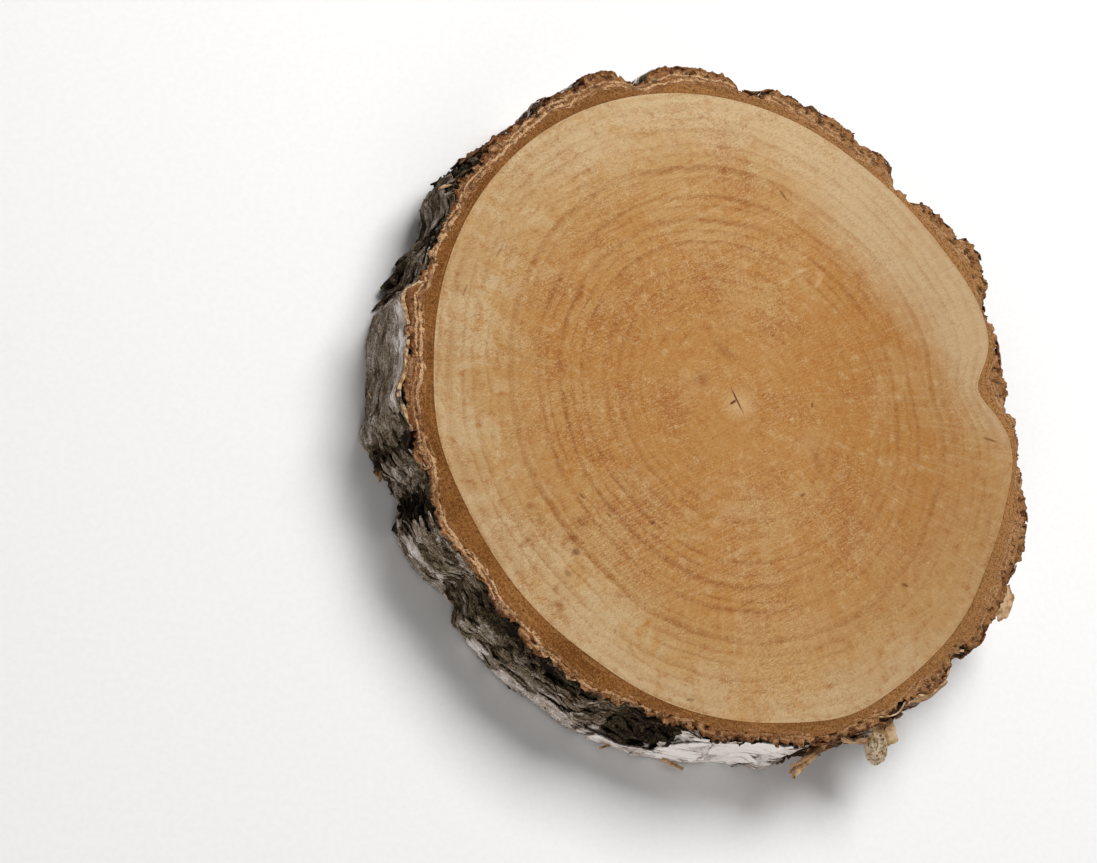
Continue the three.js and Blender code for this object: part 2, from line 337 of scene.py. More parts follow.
@dataclass
class Survey:
    """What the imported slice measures: its thickness, its wood's edge and the bark's outside."""

    columns: int = 720
    rows: int = 29
    margin: float = 1.0 * MM
    bump_limit: float = 3.0 * MM
    face_tolerance: float = 0.01 * MM
    least_edge: float = 60 * MM
    edge_passes: int = 5
    turn_digits: int = 4
    wall_around: int = 3
    wall_up: int = 1
    calm_around: int = 60
    calm_up: int = 12

    def __post_init__(self) -> None:
        """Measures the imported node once."""
        low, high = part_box(NODE)
        self.bottom = low.z
        self.thickness = high.z - low.z
        self.edge_turns, self.edge_radii = self.read_wood_edge()
        self.radii = self.read_wall()
        self.calm_radii = self.smoothed(self.radii, self.calm_around, self.calm_up)

    def read_wood_edge(self) -> tuple[Array, Array]:
        """Finds the corners of the wood's upper face, by angle.

        Returns:
            Their angles in radians, in order, and their radii in metres.
        """
        points = read_points(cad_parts[NODE])
        radius = np.hypot(points[:, 0], points[:, 1])
        top = points[:, 2] > self.thickness - self.face_tolerance
        corners = points[top & (radius > self.least_edge)]
        turns = np.arctan2(corners[:, 1], corners[:, 0]) % math.tau
        turns, first = np.unique(turns.round(self.turn_digits), return_index=True)
        radii = np.hypot(corners[first, 0], corners[first, 1])
        for _ in range(self.edge_passes):
            radii = (np.roll(radii, 1) + 2 * radii + np.roll(radii, -1)) / 4
        return turns, radii

    def read_wall(self) -> Array:
        """Measures the bark's outside by rays from the axis, in rows up it and columns round it.

        Returns:
            A table of radii in metres, rows up the bark and columns round it.
        """
        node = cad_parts[NODE]
        tree = BVHTree.FromObject(node, bpy.context.evaluated_depsgraph_get())
        heights = np.linspace(self.margin, self.thickness - self.margin, self.rows)
        turns = np.arange(self.columns) * math.tau / self.columns
        radii = np.array([[self.reach(tree, turn, height) for turn in turns] for height in heights])
        radii = np.minimum(radii, np.median(radii, axis=0) + self.bump_limit)
        return self.smoothed(radii, self.wall_around, self.wall_up)

    def smoothed(self, radii: Array, around: int, up: int) -> Array:
        """Averages a table of radii with its neighbours.

        Args:
            radii: Rows up the bark and columns round it.
            around: How many times it is averaged round the bark.
            up: How many times it is averaged up the bark.

        Returns:
            The smoothed table.
        """
        for _ in range(around):
            radii = (np.roll(radii, 1, axis=1) + 2 * radii + np.roll(radii, -1, axis=1)) / 4
        for _ in range(up):
            padded = np.pad(radii, ((1, 1), (0, 0)), mode="edge")
            radii = (padded[:-2] + 2 * padded[1:-1] + padded[2:]) / 4
        return radii

    def reach(self, tree: BVHTree, turn: float, height: float) -> float:
        """Gives the distance from the axis to the bark's outside along one ray.

        Args:
            tree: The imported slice's faces.
            turn: The ray's angle in radians.
            height: Its height in metres.

        Returns:
            The distance in metres.
        """
        direction = Vector((math.cos(turn), math.sin(turn), 0.0))
        hit = tree.ray_cast(Vector((0.0, 0.0, height)), direction)
        return hit[3] if hit[3] is not None else self.edge_radii.mean()

    def wood_edge(self, turn: Array) -> Array:
        """Gives the wood's radius at angles in radians."""
        return np.interp(turn % math.tau, self.edge_turns, self.edge_radii, period=math.tau)

    def wall(self, turn: Array, height: Array, calm: bool = False) -> Array:
        """Gives the bark's radius.

        Args:
            turn: Angles in radians.
            height: Heights in metres.
            calm: Whether the bark's lumps are smoothed away.

        Returns:
            The radii in metres.
        """
        radii = self.calm_radii if calm else self.radii
        column = (turn % math.tau) / math.tau * self.columns
        span = self.thickness - 2 * self.margin
        row = np.clip((height - self.margin) / span, 0.0, 1.0) * (self.rows - 1)
        left = np.floor(column).astype(int) % self.columns
        under = np.minimum(np.floor(row).astype(int), self.rows - 2)
        across = column - np.floor(column)
        up = row - under
        right = (left + 1) % self.columns
        lower = radii[under, left] * (1 - across) + radii[under, right] * across
        upper = radii[under + 1, left] * (1 - across) + radii[under + 1, right] * across
        return lower * (1 - up) + upper * up


@dataclass
class NodeSheet:
    """The node tree of a material or a group, with short calls for the nodes that finishes use."""

    tree: NodeTree

    def node(self, kind: str, feeds: dict[Any, Any] | None = None, **settings: Any) -> Node:
        """Adds a node.

        Args:
            kind: Blender's name for the kind of node.
            feeds: What its inputs take, by name or number.
            settings: Its options.

        Returns:
            The new node.
        """
        made = self.tree.nodes.new(kind)
        for name, value in settings.items():
            setattr(made, name, value)
        for name, value in (feeds or {}).items():
            self.feed(made.inputs[name], value)
        return made

    def feed(self, socket: Socket, value: Any) -> None:
        """Links a socket to another, or sets it to a number, vector or colour.

        Args:
            socket: The input.
            value: What it takes.
        """
        if isinstance(value, Socket):
            self.tree.links.new(value, socket)
        else:
            socket.default_value = value

    def math(self, operation: str, *values: Any) -> Socket:
        """Adds a Math node."""
        made = self.node("ShaderNodeMath", dict(enumerate(values)), operation=operation)
        return made.outputs[0]

    def vectors(self, operation: str, *values: Any) -> Node:
        """Adds a Vector Math node."""
        return self.node("ShaderNodeVectorMath", dict(enumerate(values)), operation=operation)

    def times(self, first: Any, second: Any) -> Socket:
        """Multiplies two values."""
        return self.math("MULTIPLY", first, second)

    def plus(self, first: Any, second: Any) -> Socket:
        """Adds two values."""
        return self.math("ADD", first, second)

    def minus(self, first: Any, second: Any) -> Socket:
        """Takes the second value from the first."""
        return self.math("SUBTRACT", first, second)

    def most(self, first: Any, second: Any) -> Socket:
        """Gives the larger of two values."""
        return self.math("MAXIMUM", first, second)

    def times_plus(self, value: Any, factor: Any, base: Any) -> Socket:
        """Multiplies a value by a factor and adds a base."""
        return self.math("MULTIPLY_ADD", value, factor, base)

    def ease(
        self, value: Any, low: float, high: float, start: float = 0.0, end: float = 1.0
    ) -> Socket:
        """Maps a value smoothly from one range to another, held at both ends.

        Args:
            value: The value.
            low: Where its range starts.
            high: Where its range ends.
            start: What low becomes.
            end: What high becomes.

        Returns:
            The mapped value.
        """
        names = ("Value", "From Min", "From Max", "To Min", "To Max")
        feeds = dict(zip(names, (value, low, high, start, end)))
        made = self.node("ShaderNodeMapRange", feeds, interpolation_type="SMOOTHSTEP")
        return made.outputs["Result"]

    def blend(self, share: Any, first: Any, second: Any, mode: str = "MIX") -> Socket:
        """Mixes two colours by a share from 0 to 1."""
        feeds = {0: share, 6: first, 7: second}
        return self.node("ShaderNodeMix", feeds, data_type="RGBA", blend_type=mode).outputs[2]

    def tint(
        self, colour: Any, tone: Any, value: Socket, low: float, high: float, most: float
    ) -> Socket:
        """Lays a tone over a colour, from none where a value is low to the most where high."""
        return self.blend(self.ease(value, low, high, 0.0, most), colour, tone)

    def place(self) -> Socket:
        """Gives the Object coordinates, in metres."""
        return self.node("ShaderNodeTexCoord").outputs["Object"]

    def axes(self, place: Socket) -> dict[str, Socket]:
        """Parts coordinates into their X, Y and Z."""
        parted = self.node("ShaderNodeSeparateXYZ", {0: place})
        return {socket.name: socket for socket in parted.outputs}

    def mask(self, name: str) -> Socket:
        """Gives a vertex attribute's number."""
        return self.node("ShaderNodeAttribute", attribute_name=name).outputs["Fac"]

    def stretch(
        self, vector: Any, scale: Triple, spin: float = 0.0, shift: Triple = (0.0, 0.0, 0.0)
    ) -> Socket:
        """Scales a vector along each axis after turning it about Z by some degrees.

        Args:
            vector: The coordinates.
            scale: The scale along X, Y and Z.
            spin: Degrees about Z.
            shift: A place in metres that becomes the middle.

        Returns:
            The new coordinates.
        """
        centred = self.vectors("SUBTRACT", vector, shift).outputs[0]
        feeds = {"Vector": centred, "Angle": math.radians(-spin)}
        turned_by = self.node("ShaderNodeVectorRotate", feeds, rotation_type="Z_AXIS")
        return self.vectors("MULTIPLY", turned_by.outputs[0], scale).outputs[0]

    def noise(
        self, vector: Any, scale: Any, detail: float = 3.0, rough: float = 0.55, warp: float = 0.0
    ) -> Socket:
        """Gives three-dimensional noise from 0 to 1."""
        feeds = {"Vector": vector, "Scale": scale, "Detail": detail, "Roughness": rough}
        return self.node("ShaderNodeTexNoise", feeds | {"Distortion": warp}).outputs["Fac"]

    def sway(self, vector: Any, scale: float, detail: float, rough: float = 0.55) -> Socket:
        """Gives three-dimensional noise from -0.5 to 0.5."""
        return self.minus(self.noise(vector, scale, detail, rough), 0.5)

    def layered(self, place: Socket, band: Socket, cycles: float, layers: float) -> Socket:
        """Gives coordinates that change slowly along the ring of bark and quickly across it.

        Args:
            place: The Object coordinates.
            band: The share of the way across the ring.
            cycles: Cycles in a metre along the ring.
            layers: Cycles across the whole ring.

        Returns:
            The new coordinates.
        """
        pushed = self.node("ShaderNodeCombineXYZ", {"Z": self.times(band, layers)})
        long = (cycles, cycles, cycles)
        return self.vectors("MULTIPLY_ADD", place, long, pushed.outputs[0]).outputs[0]

    def ramp(self, value: Any, stops: Sequence[tuple[float, Colour]]) -> Socket:
        """Turns a number into a colour.

        Args:
            value: The number.
            stops: Each stop's place and colour, in order.

        Returns:
            The colour.
        """
        made = self.node("ShaderNodeValToRGB", {"Fac": value})
        elements = made.color_ramp.elements
        while len(elements) < len(stops):
            elements.new(0.5)
        for element, (place, colour) in zip(elements, stops):
            element.position = place
            element.color = colour
        return made.outputs["Color"]

    def group(self, made_group: NodeTree, **values: Any) -> dict[str, Socket]:
        """Places a node group.

        Args:
            made_group: The node group.
            values: The group's inputs, by name in small letters.

        Returns:
            The group's outputs, by name.
        """
        feeds = {name.capitalize(): value for name, value in values.items()}
        made = self.node("ShaderNodeGroup", feeds, node_tree=made_group)
        return {socket.name: socket for socket in made.outputs}


def new_group(
    name: str, inputs: dict[str, float], outputs: dict[str, str]
) -> tuple[NodeSheet, Node, Node]:
    """Starts a shader node group that reads a vector and some numbers.

    Args:
        name: The group's name.
        inputs: Each number's name and its usual value.
        outputs: Each output's name and socket type.

    Returns:
        The group's sheet, its input node and its output node.
    """
    tree = bpy.data.node_groups.new(name, "ShaderNodeTree")
    tree.interface.new_socket("Vector", in_out="INPUT", socket_type="NodeSocketVector")
    for label, usual in inputs.items():
        socket = tree.interface.new_socket(label, in_out="INPUT", socket_type="NodeSocketFloat")
        socket.default_value = usual
    for label, kind in outputs.items():
        tree.interface.new_socket(label, in_out="OUTPUT", socket_type=kind)
    sheet = NodeSheet(tree)
    return sheet, sheet.node("NodeGroupInput"), sheet.node("NodeGroupOutput")


def speckle_group() -> NodeTree:
    """Builds the fine grain of cut wood and bark, with specks of two sizes.

    Returns:
        The group, which puts out the grain from 0 to 1.
    """
    usual = {"Fine": 1900.0, "Coarse": 900.0}
    sheet, given, made = new_group("speckle", usual, {"Grain": "NodeSocketFloat"})
    place, fine, coarse = (given.outputs[label] for label in ("Vector", "Fine", "Coarse"))
    fine = sheet.noise(place, fine, 1.0)
    coarse = sheet.noise(place, coarse, 2.0, 0.7)
    both = sheet.plus(sheet.ease(fine, 0.3, 0.7), sheet.ease(coarse, 0.28, 0.72))
    sheet.feed(made.inputs["Grain"], sheet.times(both, 0.5))
    return sheet.tree


BARK_TONES = (
    (0.0, srgb(14, 10, 7)),
    (0.22, srgb(40, 30, 21)),
    (0.42, srgb(82, 66, 49)),
    (0.6, srgb(134, 118, 100)),
    (0.78, srgb(184, 170, 160)),
    (0.95, srgb(240, 233, 227)),
)
RUST_TONES = ((0.0, srgb(58, 34, 20)), (0.3, srgb(112, 66, 38)), (0.7, srgb(168, 116, 76)))
LICHEN = srgb(94, 86, 56)
SLIT = srgb(52, 43, 36)
# Painted light: the paler tone that sawn bark takes towards the slice's right and back.
PAINTED_LIGHT_BARK = srgb(186, 138, 88)


def weathered_group() -> NodeTree:
    """Builds the look of weathered bark: fibres round the trunk in tones from black to paper white.

    Returns:
        The group, which puts out the colour and its relief.
    """
    outputs = {"Colour": "NodeSocketColor", "Relief": "NodeSocketFloat"}
    sheet, given, made = new_group("weathered", {"Tone": 0.5, "Rust": 0.0}, outputs)
    place, tone, rust = (given.outputs[name] for name in ("Vector", "Tone", "Rust"))
    fibre = sheet.noise(sheet.stretch(place, (400.0, 400.0, 1000.0)), 1.0, 5.0, 0.75)
    fine = sheet.noise(place, 1900.0, 3.0, 0.75)
    broad = sheet.noise(place, 190.0, 4.0, 0.65)
    paper = sheet.ease(tone, 0.7, 0.85)
    strong = sheet.ease(paper, 0.0, 1.0, 0.95, 0.45)
    value = sheet.times_plus(sheet.minus(fibre, 0.5), strong, tone)
    strong = sheet.ease(paper, 0.0, 1.0, 1.2, 0.3)
    value = sheet.times_plus(sheet.minus(fine, 0.5), strong, value)
    value = sheet.times_plus(sheet.minus(broad, 0.5), 0.6, value)
    colour = sheet.ramp(value, BARK_TONES)
    lichen = sheet.ease(sheet.noise(place, 110.0, 4.0, 0.7), 0.48, 0.62, 0.0, 0.45)
    dull = sheet.times(sheet.ease(tone, 0.62, 0.8, 1.0, 0.0), sheet.ease(fine, 0.4, 0.56))
    colour = sheet.blend(sheet.times(lichen, dull), colour, LICHEN)
    colour = sheet.blend(sheet.times(rust, 0.9), colour, sheet.ramp(value, RUST_TONES))
    slit = sheet.noise(sheet.stretch(place, (50.0, 50.0, 1300.0)), 1.0, 3.0, 0.6)
    slits = sheet.times(sheet.ease(slit, 0.6, 0.68, 0.0, 0.7), sheet.ease(tone, 0.78, 0.92))
    colour = sheet.blend(slits, colour, SLIT)
    sheet.feed(made.inputs["Colour"], colour)
    sheet.feed(made.inputs["Relief"], sheet.times_plus(fine, 0.6, fibre))
    return sheet.tree


@dataclass(frozen=True)
class Finish:
    """A material with a plain shader that takes its colour and bump from nodes."""

    name: str
    rough: float = 0.85
    gloss: float = 0.08
    depth: float = 0.2 * MM

    def start(self) -> tuple[Material, NodeSheet, Node]:
        """Makes the empty material, its sheet and its shader.

        Returns:
            The material, the sheet of its nodes and its shader.
        """
        material = bpy.data.materials.new(self.name)
        material.use_nodes = True
        sheet = NodeSheet(material.node_tree)
        shader = next(node for node in material.node_tree.nodes if node.type == "BSDF_PRINCIPLED")
        shader.inputs["Roughness"].default_value = self.rough
        shader.inputs["Specular IOR Level"].default_value = self.gloss
        return material, sheet, shader

    def painted_light(self, sheet: NodeSheet, place: Socket, colour: Socket) -> Socket:
        """Paints light onto sawn bark, lightening it towards the slice's right and back.

        Args:
            sheet: The material's sheet.
            place: The Object coordinates.
            colour: The colour so far.

        Returns:
            The lightened colour.
        """
        axes = sheet.axes(place)
        far = sheet.times_plus(axes["Y"], 0.3, axes["X"])
        return sheet.tint(colour, PAINTED_LIGHT_BARK, far, -0.1, 0.11, 0.5)

    def dress(self, sheet: NodeSheet, shader: Node, colour: Socket, height: Socket) -> None:
        """Gives the shader its colour and its bump.

        Args:
            sheet: The material's sheet.
            shader: The material's shader.
            colour: The colour.
            height: The mask that the bump is drawn from.
        """
        feeds = {"Distance": self.depth, "Strength": 1.0, "Height": height}
        bump = sheet.node("ShaderNodeBump", feeds)
        sheet.feed(shader.inputs["Base Color"], colour)
        sheet.feed(shader.inputs["Normal"], bump.outputs["Normal"])


@dataclass(frozen=True)
class Fleck:
    """A small mark in the wood.

    Its place, half length and half width are in millimetres, and its slope is in degrees.
    """

    x: float
    y: float
    length: float
    width: float
    slope: float = 0.0
    strength: float = 0.7


DARK_FLECKS = tuple(Fleck(*row) for row in (
    (1.0, -0.2, 4.6, 0.36, 119, 0.95), (-0.4, -1.0, 1.7, 0.5, 38, 0.95),
    (20.2, 74.3, 2.4, 0.5, 132, 0.6), (98.0, 0.2, 3.2, 0.45, 172, 0.6),
    (62.1, -54.2, 1.5, 0.7, 170, 0.6), (-17.8, -100.1, 1.6, 0.5, 10, 0.5),
    (29.0, 2.3, 0.9, 0.6, 80, 0.6), (24.6, -28.7, 1.2, 0.6, 30, 0.6),
    (-30.0, -45.1, 1.0, 0.5, 40, 0.7), (-54.7, -39.6, 1.4, 0.5, 140, 0.6),
    (-45.4, -44.5, 1.2, 0.5, 140, 0.5), (-56.8, -57.7, 1.6, 1.2, 0, 0.6),
    (-59.6, -64.9, 1.5, 1.0, 140, 0.4), (-83.0, 36.9, 3.0, 0.4, 60, 0.4),
    (-94.9, 21.6, 2.6, 0.4, 70, 0.4),
))

STAINS = tuple(Fleck(*row) for row in (
    (-54.7, -47.9, 2.6, 2.4, 0, 0.8), (-58.2, -53.5, 3.4, 1.7, 20, 0.7),
    (-62.4, -75.3, 2.6, 1.8, 140, 0.75), (-72.5, -45.1, 1.6, 1.4, 0, 0.6),
    (-69.1, -49.7, 1.6, 1.2, 130, 0.6), (-73.9, -56.7, 3.0, 1.2, 40, 0.65),
    (-63.7, -70.2, 2.0, 1.2, 60, 0.55), (-42.1, -69.8, 1.8, 1.2, 0, 0.55),
    (-12.0, 5.0, 3.6, 2.6, 30, 0.55), (-3.0, 16.0, 6.0, 2.4, 150, 0.5),
    (30.0, -16.0, 2.4, 7.0, 10, 0.35),
))

PALE_FLECKS = tuple(Fleck(*row) for row in (
    (1.5, -1.5, 6.6, 5.4, 20, 0.65), (25.9, 48.4, 3.4, 0.9, 25, 0.7),
    (32.7, 45.3, 2.6, 1.0, 60, 0.6), (13.6, 41.4, 2.2, 0.8, 10, 0.5),
    (27.9, 53.3, 1.6, 0.7, 40, 0.5), (-7.5, -41.9, 3.0, 1.6, 30, 0.5),
    (-3.0, -37.0, 4.6, 2.6, 20, 0.4), (21.3, -3.6, 1.2, 0.6, 30, 0.9),
    (-10.0, -33.0, 5.0, 2.2, 40, 0.3),
))


@dataclass(frozen=True)
class EndGrain(Finish):
    """Sawn birch end grain: rings, rays, specks, slanting saw marks and a cracked pith."""

    name: str = "end_grain"
    heart: Colour = srgb(179, 126, 66)
    warm: Colour = srgb(162, 100, 42)
    grey_tan: Colour = srgb(186, 142, 87)
    pale: Colour = srgb(185, 142, 87)
    tan_sapwood: Colour = srgb(188, 152, 107)
    sapwood: Colour = srgb(203, 176, 136)
    line: Colour = srgb(203, 162, 110)
    stain: Colour = srgb(188, 138, 76)
    mark: Colour = srgb(118, 76, 40)
    scuff: Colour = srgb(206, 170, 122)
    light_speck: Colour = srgb(228, 198, 152)
    dark_speck: Colour = srgb(116, 70, 30)
    # Painted shade that darkens the wood slightly towards the right.
    painted_shade_right: Colour = srgb(238, 234, 232)
    ring_width: float = 4.2
    edge_age: float = 105.0
    saw_slope: float = 30.0
    depth: float = 0.07 * MM
    sway: tuple[float, float] = (26.0, 5.0)
    fine_sway: tuple[float, float] = (170.0, 2.0)
    uneven_years: tuple[float, float] = (0.11, 7.0)
    ray_reach: Triple = (70.0, 70.0, 70.0)
    ray_cycles: Triple = (38.0, 38.0, 38.0)
    saw_cycles: Triple = (16.0, 900.0, 1.0)

    def ring_lines(self, sheet: NodeSheet, place: Socket) -> Socket:
        """Draws the late wood of each year as a line that is soft on its inner side.

        Args:
            sheet: The material's sheet.
            place: The Object coordinates.

        Returns:
            The lines' mask.
        """
        cycles, reach = self.sway
        fine_cycles, fine_reach = self.fine_sway
        sway = sheet.times(sheet.sway(place, cycles, 2.0), reach)
        fine_sway = sheet.times(sheet.sway(place, fine_cycles, 3.0), fine_reach)
        age = sheet.plus(sheet.mask("age"), sheet.plus(sway, fine_sway))
        cycles, change = self.uneven_years
        feeds = {"W": sheet.times(age, cycles), "Scale": 1.0}
        uneven = sheet.node("ShaderNodeTexNoise", feeds, noise_dimensions="1D")
        shifted = sheet.times_plus(uneven.outputs["Fac"], change, age)
        years = sheet.math("DIVIDE", shifted, self.ring_width)
        share = sheet.math("FRACT", years)
        late = sheet.times(sheet.ease(share, 0.3, 0.84), sheet.ease(share, 0.86, 1.0, 1.0, 0.0))
        feeds = {"W": sheet.math("FLOOR", years)}
        chance = sheet.node("ShaderNodeTexWhiteNoise", feeds, noise_dimensions="1D")
        return sheet.times(late, sheet.ease(chance.outputs["Value"], 0.0, 1.0, 0.4, 1.0))

    def rays(self, sheet: NodeSheet, place: Socket) -> Socket:
        """Draws faint rays that run out from the pith.

        Args:
            sheet: The material's sheet.
            place: The Object coordinates.

        Returns:
            The rays' mask.
        """
        direction = sheet.vectors("NORMALIZE", sheet.stretch(place, (1.0, 1.0, 0.0)))
        along = sheet.stretch(place, self.ray_cycles)
        long = sheet.vectors("MULTIPLY_ADD", direction.outputs[0], self.ray_reach, along)
        return sheet.noise(long.outputs[0], 1.0, 2.0)

    def saw_marks(self, sheet: NodeSheet, place: Socket) -> Socket:
        """Draws the saw's long straight scratches."""
        along = sheet.stretch(place, self.saw_cycles, self.saw_slope)
        return sheet.ease(sheet.noise(along, 1.0, 3.0, 0.7), 0.38, 0.66)

    def marks(
        self, sheet: NodeSheet, place: Socket, flecks: Sequence[Fleck], core: float = 0.4
    ) -> Socket:
        """Draws small marks, the strongest at each place, that fade from their core outwards.

        Args:
            sheet: The material's sheet.
            place: The Object coordinates.
            flecks: The marks.
            core: The share of each mark that doesn't fade.

        Returns:
            The marks' mask.
        """
        total: Any = 0.0
        for fleck in flecks:
            scale = (1 / (fleck.length * MM), 1 / (fleck.width * MM), 0.0)
            spot = sheet.stretch(place, scale, fleck.slope, (fleck.x * MM, fleck.y * MM, 0.0))
            away = sheet.vectors("LENGTH", spot).outputs["Value"]
            total = sheet.most(total, sheet.ease(away, core, 1.3, fleck.strength, 0.0))
        return total

    def zones(self, sheet: NodeSheet, place: Socket, age: Socket) -> Socket:
        """Colours the warm heart, its blotches and the sapwood, palest at the front and the back,
        with painted shade towards the right.

        Args:
            sheet: The material's sheet.
            place: The Object coordinates.
            age: The age, from 0 at the pith to 1 at the bark.

        Returns:
            The wood's colour without its rings.
        """
        wander = sheet.sway(place, 20.0, 6.0, 0.72)
        zone = sheet.times_plus(wander, 0.5, age)
        axes = sheet.axes(place)
        right = sheet.ease(axes["X"], 0.0, 0.1)
        zone = sheet.times_plus(right, -0.12, zone)
        stops = ((0.0, self.heart), (0.6, self.heart), (0.8, self.pale), (0.94, self.tan_sapwood))
        colour = sheet.ramp(zone, stops)
        back = sheet.ease(axes["Y"], 0.035, 0.09, 0.0, 0.85)
        ends = sheet.plus(back, sheet.ease(axes["Y"], -0.035, -0.09, 0.0, 0.6))
        corner = sheet.times_plus(wander, 0.04, sheet.plus(axes["X"], axes["Y"]))
        pale = sheet.times(ends, sheet.ease(zone, 0.76, 0.94))
        clean = sheet.ease(corner, 0.09, 0.128, 0.0, 0.75)
        colour = sheet.blend(sheet.most(pale, clean), colour, self.sapwood)
        fade = sheet.ease(age, 0.55, 0.98, 1.0, 0.35)
        blotch = sheet.ease(sheet.noise(place, 42.0, 6.0, 0.75), 0.48, 0.66, 0.0, 0.8)
        colour = sheet.blend(sheet.times(blotch, fade), colour, self.warm)
        light = sheet.ease(sheet.noise(place, 30.0, 6.0, 0.75, 0.4), 0.48, 0.64, 0.0, 0.85)
        colour = sheet.blend(light, colour, self.grey_tan)
        mottle = sheet.noise(place, 260.0, 4.0, 0.7)
        colour = sheet.tint(colour, self.warm, mottle, 0.52, 0.7, 0.6)
        colour = sheet.tint(colour, self.scuff, mottle, 0.46, 0.3, 0.5)
        colour = sheet.blend(sheet.times(clean, 0.75), colour, self.sapwood)
        patches = sheet.ease(sheet.noise(place, 75.0, 5.0, 0.8, 0.6), 0.49, 0.58, 0.0, 0.6)
        patches = sheet.times(patches, sheet.ease(age, 0.66, 0.86))
        patches = sheet.times(patches, sheet.ease(axes["X"], 0.0, -0.05))
        colour = sheet.blend(patches, colour, self.sapwood)
        # Painted shade: the whole face darkens slightly towards the right.
        return sheet.blend(right, colour, self.painted_shade_right, "MULTIPLY")

    def specks(
        self, sheet: NodeSheet, place: Socket, colour: Socket, speckle: NodeTree
    ) -> tuple[Socket, Socket]:
        """Strews light and dark specks along the saw's path, fewer towards the right.

        Args:
            sheet: The material's sheet.
            place: The Object coordinates.
            colour: The colour so far.
            speckle: The group that gives the fine grain.

        Returns:
            The speckled colour and the grain.
        """
        drawn = sheet.stretch(place, (0.5, 1.15, 1.0), self.saw_slope)
        grain = sheet.group(speckle, vector=drawn, fine=3000.0, coarse=1200.0)["Grain"]
        fewer = sheet.ease(sheet.axes(place)["X"], 0.02, 0.08, 1.0, 0.5)
        patchy = sheet.ease(sheet.noise(place, 40.0, 5.0, 0.75), 0.42, 0.6, 0.45, 1.0)
        patchy = sheet.times(patchy, fewer)
        light = sheet.times(sheet.ease(grain, 0.56, 0.86, 0.0, 0.36), patchy)
        dark = sheet.times(sheet.ease(grain, 0.44, 0.16, 0.0, 0.4), patchy)
        colour = sheet.blend(light, colour, self.light_speck)
        return sheet.blend(dark, colour, self.dark_speck), grain

    def build(self, speckle: NodeTree) -> Material:
        """Makes the material.

        Args:
            speckle: The group that gives the fine grain.

        Returns:
            The finished material.
        """
        material, sheet, shader = self.start()
        place = sheet.place()
        age = sheet.math("DIVIDE", sheet.mask("age"), self.edge_age)
        colour = self.zones(sheet, place, age)
        lines = self.ring_lines(sheet, place)
        clear = sheet.ease(sheet.noise(place, 50.0, 5.0, 0.75), 0.4, 0.6, 0.35, 1.0)
        rise = sheet.ease(age, 0.15, 0.6, 0.25, 1.0)
        reach = sheet.times(rise, sheet.ease(age, 0.9, 1.0, 1.0, 0.5))
        left = sheet.ease(sheet.axes(place)["X"], -0.02, 0.06, 1.0, 0.0)
        strength = sheet.times_plus(left, 0.35, 0.5)
        ring_share = sheet.times(sheet.times(lines, clear), sheet.times(reach, strength))
        colour = sheet.blend(ring_share, colour, self.line, "MULTIPLY")
        rays = sheet.ease(self.rays(sheet, place), 0.48, 0.72, 0.0, 0.14)
        colour = sheet.blend(rays, colour, self.sapwood)
        saw = self.saw_marks(sheet, place)
        clean_cut = sheet.ease(sheet.noise(place, 11.0, 2.0), 0.4, 0.6, 0.08, 0.34)
        clean_cut = sheet.times(clean_cut, sheet.times_plus(left, 0.8, 0.2))
        colour = sheet.blend(sheet.times(saw, clean_cut), colour, self.scuff)
        colour = sheet.blend(self.marks(sheet, place, PALE_FLECKS, core=0.1), colour, self.scuff)
        stains = self.marks(sheet, place, STAINS, core=0.0)
        colour = sheet.blend(stains, colour, self.stain, "MULTIPLY")
        colour, grain = self.specks(sheet, place, colour, speckle)
        colour = sheet.blend(self.marks(sheet, place, DARK_FLECKS), colour, self.mark, "MULTIPLY")
        self.dress(sheet, shader, colour, sheet.times_plus(saw, 0.7, grain))
        return material


@dataclass(frozen=True)
class InnerBark(Finish):
    """Sawn inner bark: an even orange brown with fine grains and a dark line next to the wood."""

    name: str = "inner_bark_cut"
    brown: Colour = srgb(118, 72, 30)
    ochre: Colour = srgb(146, 94, 46)
    dark: Colour = srgb(70, 40, 14)
    bright: Colour = srgb(182, 134, 80)
    depth: float = 0.18 * MM

    def build(self, speckle: NodeTree) -> Material:
        """Makes the material from the group that gives the fine grain.

        Args:
            speckle: The group that gives the fine grain.

        Returns:
            The finished material.
        """
        material, sheet, shader = self.start()
        place = sheet.place()
        patches = sheet.ease(sheet.noise(place, 45.0, 4.0), 0.4, 0.64)
        # Painted light: the inner bark grows lighter towards the right and back.
        colour = self.painted_light(sheet, place, sheet.blend(patches, self.brown, self.ochre))
        streak = sheet.noise(sheet.layered(place, sheet.mask("band"), 60.0, 5.0), 1.0, 4.0, 0.65)
        colour = sheet.tint(colour, self.bright, streak, 0.52, 0.7, 0.4)
        grain = sheet.group(speckle, vector=place, fine=2400.0, coarse=1000.0)["Grain"]
        colour = sheet.tint(colour, self.dark, grain, 0.5, 0.2, 0.65)
        colour = sheet.tint(colour, self.bright, grain, 0.58, 0.88, 0.35)
        pores = sheet.ease(sheet.noise(place, 800.0, 2.0, 0.6), 0.62, 0.69, 0.0, 0.6)
        colour = sheet.blend(pores, colour, self.dark)
        colour = sheet.blend(sheet.ease(sheet.mask("band"), 0.0, 0.2, 0.2, 0.0), colour, self.dark)
        self.dress(sheet, shader, colour, grain)
        return material


